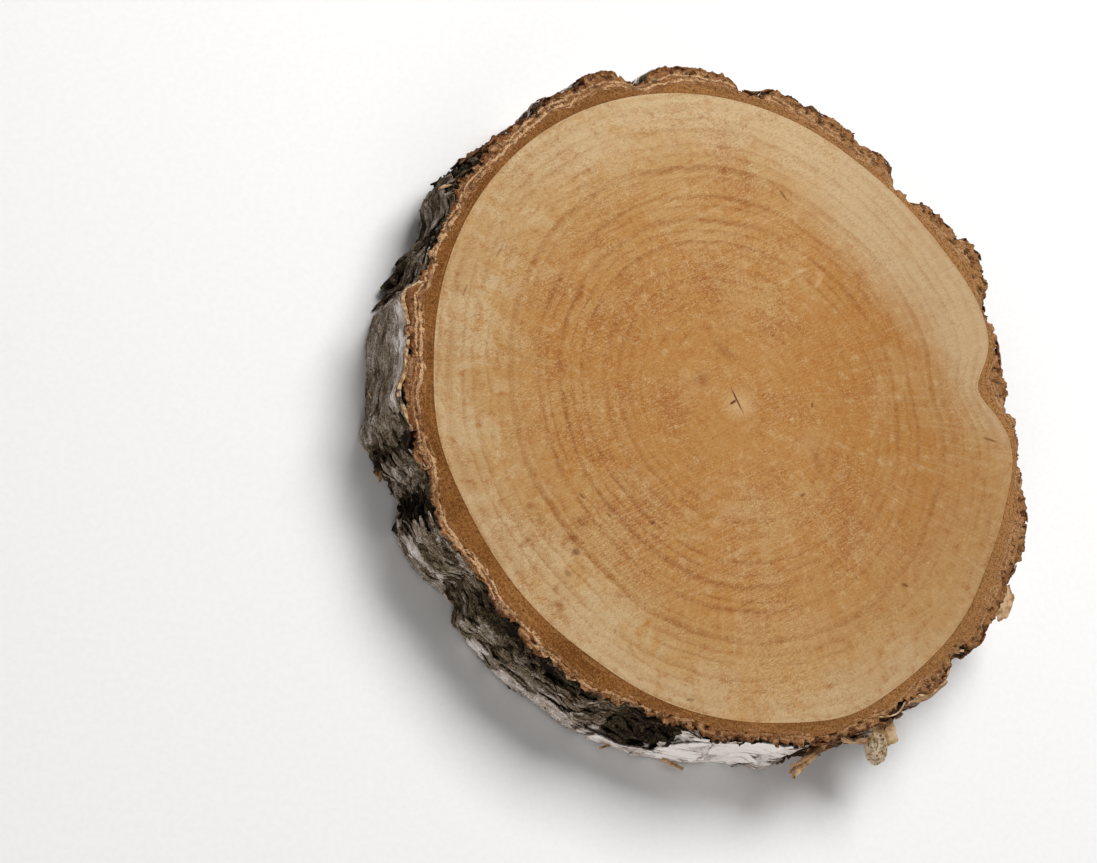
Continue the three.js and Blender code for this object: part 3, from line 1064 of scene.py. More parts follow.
@dataclass(frozen=True)
class OuterBark(Finish):
    """Outer bark: its crumbly sawn edge with wavy cream lines, and its weathered outside."""

    name: str = "outer_bark"
    rough: float = 0.92
    cut: Colour = srgb(146, 94, 54)
    # Dark brown of the crumbs, also used as painted shade in the hollows and pits.
    cut_dark_and_shade: Colour = srgb(76, 44, 24)
    cut_pale: Colour = srgb(192, 144, 100)
    cream: Colour = srgb(228, 182, 136)
    depth: float = 0.4 * MM
    inner_line: Triple = (0.7, 190.0, 0.65)
    outer_line: Triple = (2.3, 130.0, 0.4)

    def cream_line(
        self, sheet: NodeSheet, place: Socket, depth: float, wander: float, thick: float
    ) -> Socket:
        """Draws a wavy cream line.

        Args:
            sheet: The material's sheet.
            place: The Object coordinates.
            depth: How far the line lies from the inner bark, in millimetres.
            wander: Cycles in a metre of the line's waves.
            thick: Half of the line's thickness on the left, in millimetres.

        Returns:
            The line's mask, broken in places.
        """
        swayed = sheet.times_plus(sheet.sway(place, wander, 4.0, 0.65), 4.5, sheet.mask("depth"))
        away = sheet.math("ABSOLUTE", sheet.minus(swayed, depth))
        whole = sheet.ease(sheet.noise(place, wander / 4, 3.0), 0.4, 0.52, 0.2, 1.0)
        axes = sheet.axes(place)
        fade = sheet.ease(axes["X"], 0.0, 0.06, 1.0, 0.3)
        fade = sheet.times(fade, sheet.ease(axes["Y"], -0.108, -0.09, 0.4, 1.0))
        half = sheet.ease(axes["X"], -0.06, 0.0, thick, 0.35)
        line = sheet.ease(sheet.minus(away, half), -0.15, 0.15, 1.0, 0.0)
        return sheet.times(line, sheet.times(whole, fade))

    def sawn(self, sheet: NodeSheet, place: Socket, grain: Socket) -> tuple[Socket, Socket]:
        """Colours the sawn edge: red crumbs, torn fibres and wavy cream lines, with painted shade
        in hollows and pits.

        Args:
            sheet: The material's sheet.
            place: The Object coordinates.
            grain: The fine grain.

        Returns:
            The sawn edge's colour and its relief.
        """
        depth = sheet.mask("depth")
        crumb = sheet.noise(sheet.layered(place, depth, 330.0, 0.5), 1.0, 5.0, 0.75)
        stops = ((0.32, self.cut_dark_and_shade), (0.43, self.cut), (0.54, self.cut), (0.62, self.cut_pale))
        # Painted light: the sawn outer bark grows lighter towards the right and back.
        colour = self.painted_light(sheet, place, sheet.ramp(crumb, stops))
        fibre = sheet.noise(sheet.layered(place, depth, 130.0, 0.6), 1.0, 5.0, 0.72, 0.5)
        away = sheet.math("ABSOLUTE", sheet.minus(fibre, 0.5))
        thin = sheet.ease(away, 0.005, 0.026, 0.75, 0.0)
        torn = sheet.ease(sheet.noise(place, 75.0, 3.0), 0.46, 0.56)
        colour = sheet.blend(sheet.times(thin, torn), colour, self.cream)
        # Painted shade: dark spots in the dents that the bump sinks, over the deeper part of the
        # cut.
        hollow = sheet.ease(sheet.noise(place, 330.0, 3.0, 0.6), 0.44, 0.36, 0.0, 0.8)
        hollow = sheet.times(hollow, sheet.ease(depth, 0.8, 2.2))
        colour = sheet.blend(hollow, colour, self.cut_dark_and_shade)
        inner = self.cream_line(sheet, place, *self.inner_line)
        lines = sheet.most(inner, self.cream_line(sheet, place, *self.outer_line))
        colour = sheet.blend(lines, colour, self.cream)
        colour = sheet.tint(colour, self.cut_dark_and_shade, grain, 0.5, 0.2, 0.5)
        # Painted shade: darker where the sawn face has crumbled deepest.
        pits = sheet.ease(sheet.mask("pit"), 0.25, 0.9, 0.0, 0.5)
        colour = sheet.blend(pits, colour, self.cut_dark_and_shade)
        relief = sheet.times_plus(hollow, -1.5, sheet.times_plus(crumb, 1.5, lines))
        return colour, relief

    def build(self, speckle: NodeTree, weathered: NodeTree) -> Material:
        """Makes the material.

        Args:
            speckle: The group that gives the fine grain.
            weathered: The group that gives the weathered outside.

        Returns:
            The finished material.
        """
        material, sheet, shader = self.start()
        place = sheet.place()
        grain = sheet.group(speckle, vector=place, fine=2200.0, coarse=900.0)["Grain"]
        masks = {"tone": sheet.mask("tone"), "rust": sheet.mask("rust")}
        outside = sheet.group(weathered, vector=place, **masks)
        sawn, relief = self.sawn(sheet, place, grain)
        cut = sheet.ease(sheet.mask("cut"), 0.3, 0.7)
        colour = sheet.blend(cut, outside["Colour"], sawn)
        height = sheet.times_plus(cut, relief, sheet.plus(outside["Relief"], grain))
        self.dress(sheet, shader, colour, height)
        return material


@dataclass(frozen=True)
class WeatheredBark(Finish):
    """Loose bark, in the tone and rust that its own attributes give."""

    name: str = "loose_bark"
    depth: float = 0.3 * MM

    def build(self, weathered: NodeTree) -> Material:
        """Makes the material from the group that gives the weathered look.

        Args:
            weathered: The group that gives the weathered look.

        Returns:
            The finished material.
        """
        material, sheet, shader = self.start()
        masks = {"tone": sheet.mask("tone"), "rust": sheet.mask("rust")}
        look = sheet.group(weathered, vector=sheet.place(), **masks)
        self.dress(sheet, shader, look["Colour"], look["Relief"])
        return material


@dataclass(frozen=True)
class TwoToned(Finish):
    """A finish in two tones, for torn edges and the floor."""

    name: str = "two_toned"
    light: Colour = srgb(200, 160, 112)
    shade: Colour = srgb(140, 98, 60)
    cycles: Triple = (500.0, 500.0, 500.0)
    low: float = 0.4
    high: float = 0.6

    def build(self) -> Material:
        """Makes the material from one noise.

        Returns:
            The finished material.
        """
        material, sheet, shader = self.start()
        spots = sheet.noise(sheet.stretch(sheet.place(), self.cycles), 1.0, 4.0, 0.65)
        share = sheet.ease(spots, self.low, self.high)
        self.dress(sheet, shader, sheet.blend(share, self.shade, self.light), spots)
        return material


@dataclass(frozen=True)
class KnobBark(Finish):
    """The knob's bark: pale, with olive patches and crowds of dark dots."""

    name: str = "knob_bark"
    pale: Colour = srgb(206, 182, 156)
    olive: Colour = srgb(146, 122, 74)
    dot: Colour = srgb(74, 56, 38)
    fibre: Colour = srgb(170, 142, 112)
    depth: float = 0.35 * MM

    def build(self) -> Material:
        """Makes the material from three noises.

        Returns:
            The finished material.
        """
        material, sheet, shader = self.start()
        place = sheet.place()
        patches = sheet.noise(place, 260.0, 4.0, 0.7)
        colour = sheet.tint(self.pale, self.olive, patches, 0.48, 0.6, 0.85)
        streak = sheet.noise(sheet.stretch(place, (900.0, 300.0, 900.0)), 1.0, 3.0, 0.65)
        colour = sheet.tint(colour, self.fibre, streak, 0.5, 0.36, 0.5)
        crowd = sheet.ease(sheet.noise(place, 150.0, 2.0), 0.4, 0.62, 0.0, 0.9)
        dots = sheet.times(sheet.ease(sheet.noise(place, 1000.0, 2.0, 0.6), 0.56, 0.61), crowd)
        height = sheet.times_plus(dots, -0.8, streak)
        self.dress(sheet, shader, sheet.blend(dots, colour, self.dot), height)
        return material


@dataclass
class WoodRound:
    """The sawn round of wood, turned from its profile and swelled to the slice's own outline."""

    survey: Survey
    columns: int = 480
    top_rows: int = 48
    under_rows: int = 20
    side_rows: int = 8
    outline_power: float = 5.0
    bevel: float = 0.04 * MM

    def profile(self) -> list[tuple[float, float]]:
        """Gives the profile from the pith on top, round the edge, to the pith underneath.

        Returns:
            Radius and height of each corner, in metres.
        """
        radius = float(self.survey.edge_radii.mean())
        top = self.survey.thickness
        over = [(radius * step / self.top_rows, top) for step in range(self.top_rows)]
        side = [
            (radius, top - self.bevel - (top - 2 * self.bevel) * step / self.side_rows)
            for step in range(self.side_rows + 1)
        ]
        under = [(radius * step / self.under_rows, 0.0) for step in range(self.under_rows)]
        rim = [(radius - self.bevel, top), *side, (radius - self.bevel, 0.0)]
        return over + rim + under[::-1]

    def build(self) -> Piece:
        """Turns the round, keeps each vertex's age in millimetres of growth and shapes it.

        Returns:
            The round.
        """
        piece = turned("wood_round", self.profile(), self.columns, solid=True)
        points = read_points(piece)
        radius = np.hypot(points[:, 0], points[:, 1])
        turn = np.arctan2(points[:, 1], points[:, 0])
        plain = float(self.survey.edge_radii.mean())
        swell = (self.survey.wood_edge(turn) / plain - 1.0) * (radius / plain) ** self.outline_power
        write_points(piece, polar_points(turn, radius * (1.0 + swell), points[:, 2]))
        write_masks(piece, age=radius / plain * EndGrain.edge_age)
        return piece


@dataclass(frozen=True)
class BarkPatch:
    """A patch of the bark's outside.

    Its angles are in degrees. Its heights and how deep it is dug are in millimetres.
    """

    start: float
    end: float
    low: float
    high: float
    dig: float = 0.0


BARK_PATCHES = {
    Growth.PALE: (
        (32, 40, 6, 20), (64, 83, 3, 22), (98, 105, 0, 20), (111, 127, 2, 20), (249, 262, 0, 8),
        (262, 283, 0, 26), (306, 315, 2, 17), (335, 352, 0, 21),
    ),
    Growth.GREY: (
        (28, 43, 0, 22), (55, 61, 0, 22), (89, 97, 6, 22), (149, 157, 0, 29), (163, 168, 0, 29),
        (168, 193, 0, 31), (196, 201, 3, 28), (206, 218, 16, 30), (206, 217, 0, 15),
        (218, 248, 0, 17), (243, 250, 11, 30), (274, 284, 0, 9, 1.5),
    ),
    Growth.RUST: (
        (0, 18, 0, 31), (19, 27, 0, 22), (18, 60, 22, 31), (60, 142, 22, 31), (128, 133, 0, 31),
        (134, 142, 6, 22), (284, 296, 3, 31), (297, 304, 14, 31, 2.4), (304, 319, 18, 31),
        (320, 333, 5, 31), (333, 360, 21, 31),
    ),
    Growth.DEEP: (
        (44, 54, 0, 16), (84, 88, 0, 16), (106, 110, 0, 16), (142, 149, 0, 24), (157, 163, 0, 26),
        (191, 196, 22, 30), (202, 206, 0, 28), (217, 224, 11, 27), (225, 231, 20, 29),
        (234, 242, 17, 27), (249, 256, 9, 31), (257, 263, 8, 31), (316, 319, 0, 18),
        (353, 358, 0, 21),
    ),
}


TONE_SHARES = ((Growth.GREY, 0.28), (Growth.RUST, 0.14), (Growth.DEEP, -0.1))


@dataclass(frozen=True)
class BarkSkin:
    """The bark's outside at points: its radius in metres, its tone and rust from 0 to 1."""

    radius: Array
    tone: Array
    rust: Array


@dataclass
class BarkForm:
    """The fine form of the bark: what covers each place and how far it stands out there."""

    survey: Survey
    ragged_angle: float = 1.8
    ragged_height: float = 3.0
    sunk: float = 0.5 * MM
    hollow: float = 1.5 * MM
    plate: float = 1.0 * MM
    step: float = 1.3 * MM
    chip: float = 0.8 * MM
    lump: float = 0.6 * MM
    fibre: float = 0.14 * MM
    crumb: float = 0.55 * MM
    flat: float = 0.65
    bend: float = 3.0 * MM
    plain_tone: float = 0.27
    paper_tone: float = 0.88
    plate_cycles: Triple = (80, 80, 210)
    chip_cycles: Triple = (300, 300, 430)

    def growths(
        self, turn: Array, height: Array, points: Array
    ) -> tuple[dict[Growth, Array], Array]:
        """Finds how far each growth covers each point, with ragged borders.

        Args:
            turn: Angles in radians.
            height: Heights in metres.
            points: The same places as X, Y and Z.

        Returns:
            A cover from 0 to 1 for each growth, and how deep each point is dug in metres.
        """
        angle = np.degrees(turn) + self.ragged_angle * rumple(points, (190, 190, 190), 4, 3.1)
        level = height / MM + self.ragged_height * rumple(points, (170, 170, 120), 4, 17.7)
        cover = {growth: np.zeros(len(turn)) for growth in Growth}
        dug = np.zeros(len(turn))
        patches = [(key, BarkPatch(*row)) for key, rows in BARK_PATCHES.items() for row in rows]
        for growth, patch in patches:
            half = (patch.end - patch.start) / 2
            away = np.abs(turn_between(angle, patch.start + half))
            around = 1.0 - eased(away, half - 0.3, half + 0.5)
            over = eased(level, patch.low - 0.8, patch.low + 0.4)
            under = 1.0 - eased(level, patch.high - 0.4, patch.high + 0.8)
            share = around * (over * under)
            cover[growth] = np.maximum(cover[growth], share)
            dug = np.maximum(dug, patch.dig * MM * share)
        return cover, dug

    def tone(self, cover: dict[Growth, Array]) -> Array:
        """Gives the bark's tone, from 0 for black to 1 for paper white."""
        tone = self.plain_tone + sum(share * cover[growth] for growth, share in TONE_SHARES)
        return np.clip(tone + (self.paper_tone - tone) * cover[Growth.PALE], 0.04, 1.0)

    def skin(self, turn: Array, height: Array) -> BarkSkin:
        """Gives the bark's outside with its plates, cracks, hollows and fibres, and painted shade
        in its cracks.

        Args:
            turn: Angles in radians.
            height: Heights in metres.

        Returns:
            The outside at each angle and height.
        """
        base = self.survey.wall(turn, height)
        points = polar_points(turn, base, height)
        cover, dug = self.growths(turn, height, points)
        pale, grey, deep = (cover[growth] for growth in (Growth.PALE, Growth.GREY, Growth.DEEP))
        calm = 1.0 - 0.8 * pale
        blocky = calm * (1.0 - 0.6 * deep)
        smooth = calm * (1.0 - 0.5 * grey)
        rough = calm * (1.0 - 0.6 * grey) * (1.0 + 1.9 * deep)
        bent = points + self.bend * rumple(points, (170, 170, 170), 3, 5.0)[:, None]
        gap, plate, middle = plate_cells(bent, self.plate_cycles, 2.0)
        chip_gap, chip, _ = plate_cells(bent, self.chip_cycles, 7.0)
        level = self.survey.wall(np.arctan2(middle[:, 1], middle[:, 0]), middle[:, 2])
        flat = self.flat * (1.0 - 0.85 * deep)
        base = base + flat * np.clip(level - base, -self.step, self.step)
        base = base + (self.survey.wall(turn, height, calm=True) - base) * pale
        radius = base - self.sunk - self.hollow * deep - dug
        radius += self.plate * (eased(gap, 0.0, 0.26) - 0.6) * blocky
        radius += self.step * (plate - 0.5) * blocky
        radius += self.chip * (0.6 * chip + 0.4 * eased(chip_gap, 0.0, 0.5) - 0.5) * rough
        radius += self.lump * rumple(points, (330, 330, 330), 3, 51.0) * smooth
        radius += self.fibre * rumple(points, (240, 240, 1000), 3, 9.0) * (1.0 - 0.6 * pale)
        radius += self.crumb * rumple(points, (1000, 1000, 1000), 2, 31.0) * rough
        # Each plate and chip takes its own random tone, and painted shade darkens the cracks
        # between the plates.
        shade = 0.24 * (plate - 0.5) + 0.16 * (chip - 0.5) - 0.26 * (1.0 - eased(gap, 0.02, 0.2))
        tone = np.clip(self.tone(cover) + shade * blocky, 0.03, 1.0)
        return BarkSkin(radius, tone, cover[Growth.RUST])


WIDER_INNER_BARK = ((226, 14, 32, 0.22), (50, 25, 50, -0.16), (125, 15, 40, -0.06))


@dataclass
class BarkRings:
    """The ring of bark as two turned rings: the smooth inner bark and the rough outer bark."""

    survey: Survey
    form: BarkForm
    inner_columns: int = 960
    outer_columns: int = 1200
    inner_share: float = 0.44
    overlap: float = 0.8 * MM
    lap: float = 0.3 * MM
    shrink: float = 0.025 * MM
    spill: float = 1.0 * MM
    nominal_inner: float = 106 * MM
    nominal_outer: float = 114 * MM
    grain: float = 0.3 * MM
    lump: float = 0.5 * MM
    pit: float = 1.0 * MM
    worn_edge: float = 0.8 * MM
    wear: float = 0.12 * MM
    cut_share: float = 0.97
    sway: float = 0.5 * MM
    fine_sway: float = 0.35 * MM
    wide_spill: float = 2.0 * MM
    wide_spill_angle: float = 252.0

    def middle(self, turn: Array) -> Array:
        """Gives the radius where inner bark turns to outer bark.

        Args:
            turn: Angles in radians.

        Returns:
            The radii in metres.
        """
        wood = self.survey.wood_edge(turn)
        outline = self.survey.wall(turn, np.full(len(turn), self.survey.thickness))
        share = np.full(len(turn), self.inner_share)
        for centre, near, far, extra in WIDER_INNER_BARK:
            away = np.abs(turn_between(np.degrees(turn), centre))
            share += extra * (1.0 - eased(away, near, far))
        sway = self.sway * np.sin(9 * turn + 1.0) + self.fine_sway * np.sin(23 * turn)
        return wood + (outline - wood) * share + sway

    def ring_profile(self, across: int, up: int) -> list[tuple[float, float]]:
        """Gives a closed rectangular profile with rows across its faces and up its sides.

        Args:
            across: Rows across the upper and lower faces.
            up: Rows up the outer side.

        Returns:
            Radius and height of each corner.
        """
        width = self.nominal_outer - self.nominal_inner
        top = self.survey.thickness
        over = [(self.nominal_inner + width * step / across, top) for step in range(across)]
        down = [(self.nominal_outer, top * (1 - step / up)) for step in range(up)]
        under = [(self.nominal_outer - width * step / across, 0.0) for step in range(across)]
        back = [(self.nominal_inner, top * step / 3) for step in range(3)]
        return over + down + under + back

    def unrolled(self, piece: Piece) -> tuple[Array, Array, Array]:
        """Reads a turned ring as angles, shares across it and heights.

        Args:
            piece: The turned ring.

        Returns:
            Angles in radians, shares from 0 to 1 and heights in metres.
        """
        points = read_points(piece)
        radius = np.hypot(points[:, 0], points[:, 1])
        turn = np.arctan2(points[:, 1], points[:, 0]) % math.tau
        share = (radius - self.nominal_inner) / (self.nominal_outer - self.nominal_inner)
        return turn, np.clip(share, 0.0, 1.0), points[:, 2]

    def crumble(self, points: Array, share: Array) -> Array:
        """Gives how far the sawn face has crumbled away at each point, in metres.

        Args:
            points: Places in metres, one row each.
            share: The share of the way across the outer bark.

        Returns:
            The depths in metres.
        """
        grains = self.grain * eased(share, 0.0, 0.15) * rumple(points, (700, 700, 300), 2, 11.0)
        lumps = self.lump * np.abs(rumple(points, (420, 420, 200), 3, 61.0))
        pits = self.pit * eased(rumple(points, (440, 440, 200), 3, 23.0), 0.05, 0.7)
        edge = eased(share, 0.6, 1.0) * eased(rumple(points, (210, 210, 90), 4, 41.0), -0.4, 0.6)
        crumbled = grains + (pits + lumps) * eased(share, 0.1, 0.45) + self.worn_edge * edge
        return np.maximum(0.0, crumbled)

    def spilled(self, points: Array) -> Array:
        """Marks where the colour of the cut reaches over its edge onto the outside, from 0 to 1.

        Args:
            points: Places in metres, one row each.

        Returns:
            The marks.
        """
        from_face = np.minimum(points[:, 2], self.survey.thickness - points[:, 2])
        angle = np.degrees(np.arctan2(points[:, 1], points[:, 0]))
        away = np.abs(turn_between(angle, self.wide_spill_angle))
        spill = self.spill + self.wide_spill * (1.0 - eased(away, 7, 16))
        spill = spill * (0.5 + rumple(points, (420, 420, 90), 4, 71.0))
        return eased(spill - from_face, -0.3 * MM, 0.3 * MM)

    def sawn_height(self, height: Array, loss: Array) -> Array:
        """Lowers the upper face and raises the lower one by what each has lost."""
        level = height / self.survey.thickness
        return height + loss * (1.0 - 2.0 * level)

    def build_inner(self) -> Piece:
        """Makes the inner bark, from just under the wood's edge to the outer bark.

        Returns:
            The inner bark.
        """
        piece = turned("inner_bark", self.ring_profile(16, 4), self.inner_columns)
        turn, share, height = self.unrolled(piece)
        wood = self.survey.wood_edge(turn)
        start = wood - self.overlap
        radius = start + (self.middle(turn) + self.lap - start) * share
        points = polar_points(turn, radius, height)
        worn = self.wear * np.abs(rumple(points, (500, 500, 200), 2, 19.0)) * share
        height = self.sawn_height(height, self.shrink + worn)
        write_points(piece, polar_points(turn, radius, height))
        write_masks(piece, band=(radius - wood) / (self.middle(turn) - wood))
        return piece

    def build_outer(self) -> Piece:
        """Makes the outer bark, with all of its plates, cracks and hollows.

        Returns:
            The outer bark.
        """
        piece = turned("outer_bark", self.ring_profile(14, 50), self.outer_columns)
        turn, share, height = self.unrolled(piece)
        start = self.middle(turn) - self.overlap
        skin = self.form.skin(turn, height)
        outside = np.maximum(skin.radius, start + 2 * self.overlap)
        radius = start + (outside - start) * share
        points = polar_points(turn, radius, height)
        loss = self.crumble(points, share)
        height = self.sawn_height(height, self.shrink + loss)
        write_points(piece, polar_points(turn, radius, height))
        depth = (radius - start - self.overlap) / MM
        cut = np.maximum(share < self.cut_share, self.spilled(points))
        write_masks(piece, depth=depth, pit=loss / MM, cut=cut, tone=skin.tone, rust=skin.rust)
        return piece


@dataclass
class LooseBark:
    """Small flat flakes that overlap all over the outside, and crumbs along the sawn edges."""

    survey: Survey
    form: BarkForm
    flakes: int = 1700
    crumbs: int = 3000
    seed: int = 41
    shaggy_side: float = 215.0
    shaggy_reach: float = 75.0
    thickness: float = 0.35 * MM
    foot_gap: float = 0.3 * MM
    top_gap: float = 0.7 * MM
    crumb_depth: float = 0.95 * MM
    crumb_gap: float = 0.05 * MM
    under_share: float = 0.3

    def build_flakes(self) -> Piece:
        """Makes the flakes, each as long and as pale as the growth that it lies on.

        Returns:
            The flakes as one piece.
        """
        grid = {"x_subdivisions": 5, "y_subdivisions": 3, "size": 1.0}
        piece = primitive("bark_flakes", bpy.ops.mesh.primitive_grid_add, **grid)
        local, own = copies(piece, self.flakes)
        draw = np.random.default_rng(self.seed).random((self.flakes, 11))
        turn = draw[:, 0] * math.tau
        height = (0.04 + 0.92 * draw[:, 1]) * self.survey.thickness
        spots = polar_points(turn, self.survey.wall(turn, height), height)
        cover, _ = self.form.growths(turn, height, spots)
        length, width = self.flake_sizes(draw, cover)
        ragged = np.column_stack((local[:, 0] * 2.6, local[:, 1] * 2.6, own * 7.31))
        u = local[:, 0] + 0.16 * rumple(ragged, (1, 1, 1), 2, 1.0)
        narrow = 1.0 - 0.75 * np.abs(local[:, 0] * 2) ** 2.4
        v = local[:, 1] * narrow + 0.16 * rumple(ragged, (1, 1, 1), 2, 8.0)
        lean = (draw[own, 4] - 0.5) * 0.5
        along = u * length[own] * np.cos(lean) - v * width[own] * np.sin(lean)
        up = v * width[own] * np.cos(lean) + u * length[own] * np.sin(lean)
        radius = self.survey.wall(turn, height)[own]
        high = np.clip(height[own] + up, self.foot_gap, self.survey.thickness - self.top_gap)
        around = turn[own] + along / radius
        lift = self.flake_lifts(draw, turn, u, v, own)
        write_points(piece, polar_points(around, self.survey.wall(around, high) + lift, high))
        tone = np.clip(self.form.tone(cover) + 0.3 * (draw[:, 9] - 0.45), 0.05, 1.0)
        rust = cover[Growth.RUST] * (draw[:, 10] > 0.3)
        write_masks(piece, tone=tone[own], rust=rust[own])
        apply_modifier(piece, "SOLIDIFY", thickness=self.thickness, offset=0.0)
        return piece

    def flake_sizes(self, draw: Array, cover: dict[Growth, Array]) -> tuple[Array, Array]:
        """Gives each flake's length round the trunk and width up it, in metres.

        Args:
            draw: The random numbers of each flake.
            cover: How far each growth covers each flake.

        Returns:
            The lengths and the widths.
        """
        big = np.maximum(cover[Growth.PALE], 0.6 * cover[Growth.GREY])
        length = (2.2 + 4.0 * draw[:, 2] + 4.5 * big * draw[:, 3]) * MM
        width = (1.0 + 1.8 * draw[:, 3] + 2.2 * big * draw[:, 2]) * MM
        return length, width

    def flake_lifts(self, draw: Array, turn: Array, u: Array, v: Array, own: Array) -> Array:
        """Gives how far each vertex of the flakes stands off the bark's outline.

        Args:
            draw: The random numbers of each flake.
            turn: The angle of each flake in radians.
            u: Each vertex's place along its flake.
            v: Each vertex's place across its flake.
            own: The number of each vertex's flake.

        Returns:
            The distances in metres, larger at the few splinters of the shaggy side.
        """
        shaggy = np.abs(turn_between(np.degrees(turn), self.shaggy_side)) < self.shaggy_reach
        splinter = 1.0 + 2.6 * (draw[:, 5] > 0.94) * shaggy
        tilt_around = (draw[:, 6] - 0.5) * 1.3 * splinter
        tilt_up = (draw[:, 7] - 0.5) * 1.5 * splinter
        level = -0.7 + 0.75 * draw[:, 8]
        curl = 0.8 * (draw[:, 4] - 0.3) * splinter
        return (level[own] + tilt_around[own] * u + tilt_up[own] * v + curl[own] * 2 * u * u) * MM

    def build_crumbs(self) -> Piece:
        """Makes the crumbs that stick to the outer bark's sawn faces.

        Returns:
            The crumbs as one piece.
        """
        ball = bpy.ops.mesh.primitive_ico_sphere_add
        piece = primitive("bark_crumbs", ball, subdivisions=1, radius=1.0)
        local, own = copies(piece, self.crumbs)
        draw = np.random.default_rng(self.seed + 1).random((self.crumbs, 7))
        turn = draw[:, 0] * math.tau
        upper = draw[:, 1] > self.under_share
        top = self.survey.thickness
        level = np.where(upper, top - self.crumb_depth, self.crumb_depth)
        wood = self.survey.wood_edge(turn)
        outline = self.form.skin(turn, level).radius
        radius = wood + (outline - wood) * (0.52 + 0.45 * draw[:, 2] ** 0.8)
        size = (0.14 + 0.34 * draw[:, 3] ** 2) * MM
        apart = np.column_stack((local[:, 0], local[:, 1], local[:, 2] + own * 5.7))
        lumpy = 1.0 + 0.6 * rumple(apart, (1.4, 1.4, 1.4))
        shape = local * lumpy[:, None] * size[own, None] * (0.7 + 0.6 * draw[own, 3:6])
        places = polar_points(turn, radius, level)[own] + shape
        places[:, 2] = np.clip(places[:, 2], self.crumb_gap, top - self.crumb_gap)
        write_points(piece, places)
        write_masks(piece, tone=(0.1 + 0.6 * draw[:, 6])[own], rust=(draw[:, 5] > 0.15)[own])
        return piece


@dataclass(frozen=True)
class PaperSheet:
    """A sheet of bark: where it is rooted, where its free tip is, and how far each stands off.

    Angles are in degrees, everything else in millimetres, and the tone runs from 0 for black to
    1 for paper white. The upper edge falls towards the tip and the lower one rises to the root.
    """

    root: float
    tip: float
    low: float
    high: float
    root_lift: float
    tip_lift: float
    tone: float
    thick: float = 0.35
    tear: float = 1.2
    rust: float = 0.0
    power: float = 2.0
    drop: float = 0.0
    bulge: float = 0.0
    rough: float = 1.0
    fall: float = 0.0
    rise: float = 0.0


PAPER_SHEETS = (
    PaperSheet(283.5, 260, 0.6, 27.5, -0.3, 0.1, 1.0, tear=0.5, rough=0.25, fall=15, rise=7),
    PaperSheet(282, 268, 8, 27.5, -0.1, 0.4, 1.0, tear=0.4, rough=0.3, fall=6, rise=10),
    PaperSheet(266, 248, 0.6, 7, -0.2, 0.6, 0.86, rough=0.6),
    PaperSheet(221, 236, 0.6, 9, -0.5, 0.4, 0.58),
    PaperSheet(234, 247, 0.6, 9, 0.0, 0.8, 0.74, rough=0.5),
    PaperSheet(225, 237, 0.8, 8, 0.1, 0.9, 0.82, rough=0.35),
    PaperSheet(217, 205, 0.6, 8, 0.0, 0.8, 0.72, rough=0.5),
    PaperSheet(216, 207, 6.5, 13, 0.2, 0.8, 0.82, rough=0.3),
    PaperSheet(215, 206, 15, 24, -0.5, 0.2, 0.56),
    PaperSheet(172, 190, 26, 29.6, 0.8, 1.3, 0.8, tear=0.5),
    PaperSheet(176, 188, 8, 15, 0.7, 1.2, 0.58),
    PaperSheet(134, 144, 17, 25, -0.6, 0.2, 0.4, tear=2.4, rust=0.6),
    PaperSheet(168, 157, 1, 9, -0.4, 0.5, 0.5, tear=2.4),
    PaperSheet(62, 84, 1, 23, -0.4, 0.4, 0.9, tear=3.2, fall=7, rise=5),
    PaperSheet(129, 110, 1, 22, -0.4, 0.5, 0.9, tear=3.2, fall=9, rise=4),
    PaperSheet(96, 106, 1, 20, -0.4, 0.2, 0.8, tear=2.6, fall=6, rise=6),
    PaperSheet(305, 317, 1, 18, -0.4, 0.4, 0.84, tear=2.6, fall=6, rise=4),
    PaperSheet(334, 353, 1, 23, -0.4, 0.4, 0.88, tear=3.2, fall=9, rise=5),
    PaperSheet(31, 42, 3, 23, -0.4, 0.4, 0.84, tear=2.6, fall=5, rise=7),
)

BARK_PEELS = (
    PaperSheet(148.5, 160, 15, 25.5, -0.6, 2.0, 0.46, 1.8, 1.2, drop=15, rough=2.2),
    PaperSheet(150, 165, 8, 19, -0.8, 2.6, 0.36, 2.2, 1.2, drop=12, rough=2.2),
    PaperSheet(157, 167, 16, 25, -0.6, 1.4, 0.42, 1.4, 1.2, drop=9, rough=2.0),
    PaperSheet(148, 156, 21, 27, -0.4, 1.6, 0.62, 0.5, 1.0, drop=7, rough=1.2),
    PaperSheet(155, 168, 0.5, 9, -0.8, 1.0, 0.44, 0.6, 1.6, drop=3, rough=1.6),
    PaperSheet(64, 80, 6, 18, 0.2, 1.2, 0.85, 0.5, 2.8, fall=5, rise=5),
    PaperSheet(126, 113, 3, 17, 0.2, 1.0, 0.72, 0.6, 2.8, fall=6, rise=4),
    PaperSheet(263, 250, 1.4, 9, 0.1, 1.6, 0.88, 0.4, 1.4),
)

GREY_PLATE = PaperSheet(
    168, 193.5, 0.8, 29.8, -1.0, -1.8, 0.59, 1.2, 0.9, power=7.0, bulge=1.3, rough=1.2
)
KNOB_FLAP = PaperSheet(296, 304.5, 17, 29.6, -3.0, -1.2, 0.42, 0.5, 0.4, rust=0.6, bulge=0.6)

TAN_STRIPS = (
    PaperSheet(298, 281.4, 20.5, 24.5, 0.1, 4.6, 0.8, 0.7, 0.7, 0.9, 3.4),
    PaperSheet(304, 313, 24.5, 29, -0.4, 0.9, 0.85, 0.9, 0.8, 0.8),
    PaperSheet(312, 319, 23, 28.5, -0.3, 0.6, 0.8, 0.8, 0.8, 0.9),
)


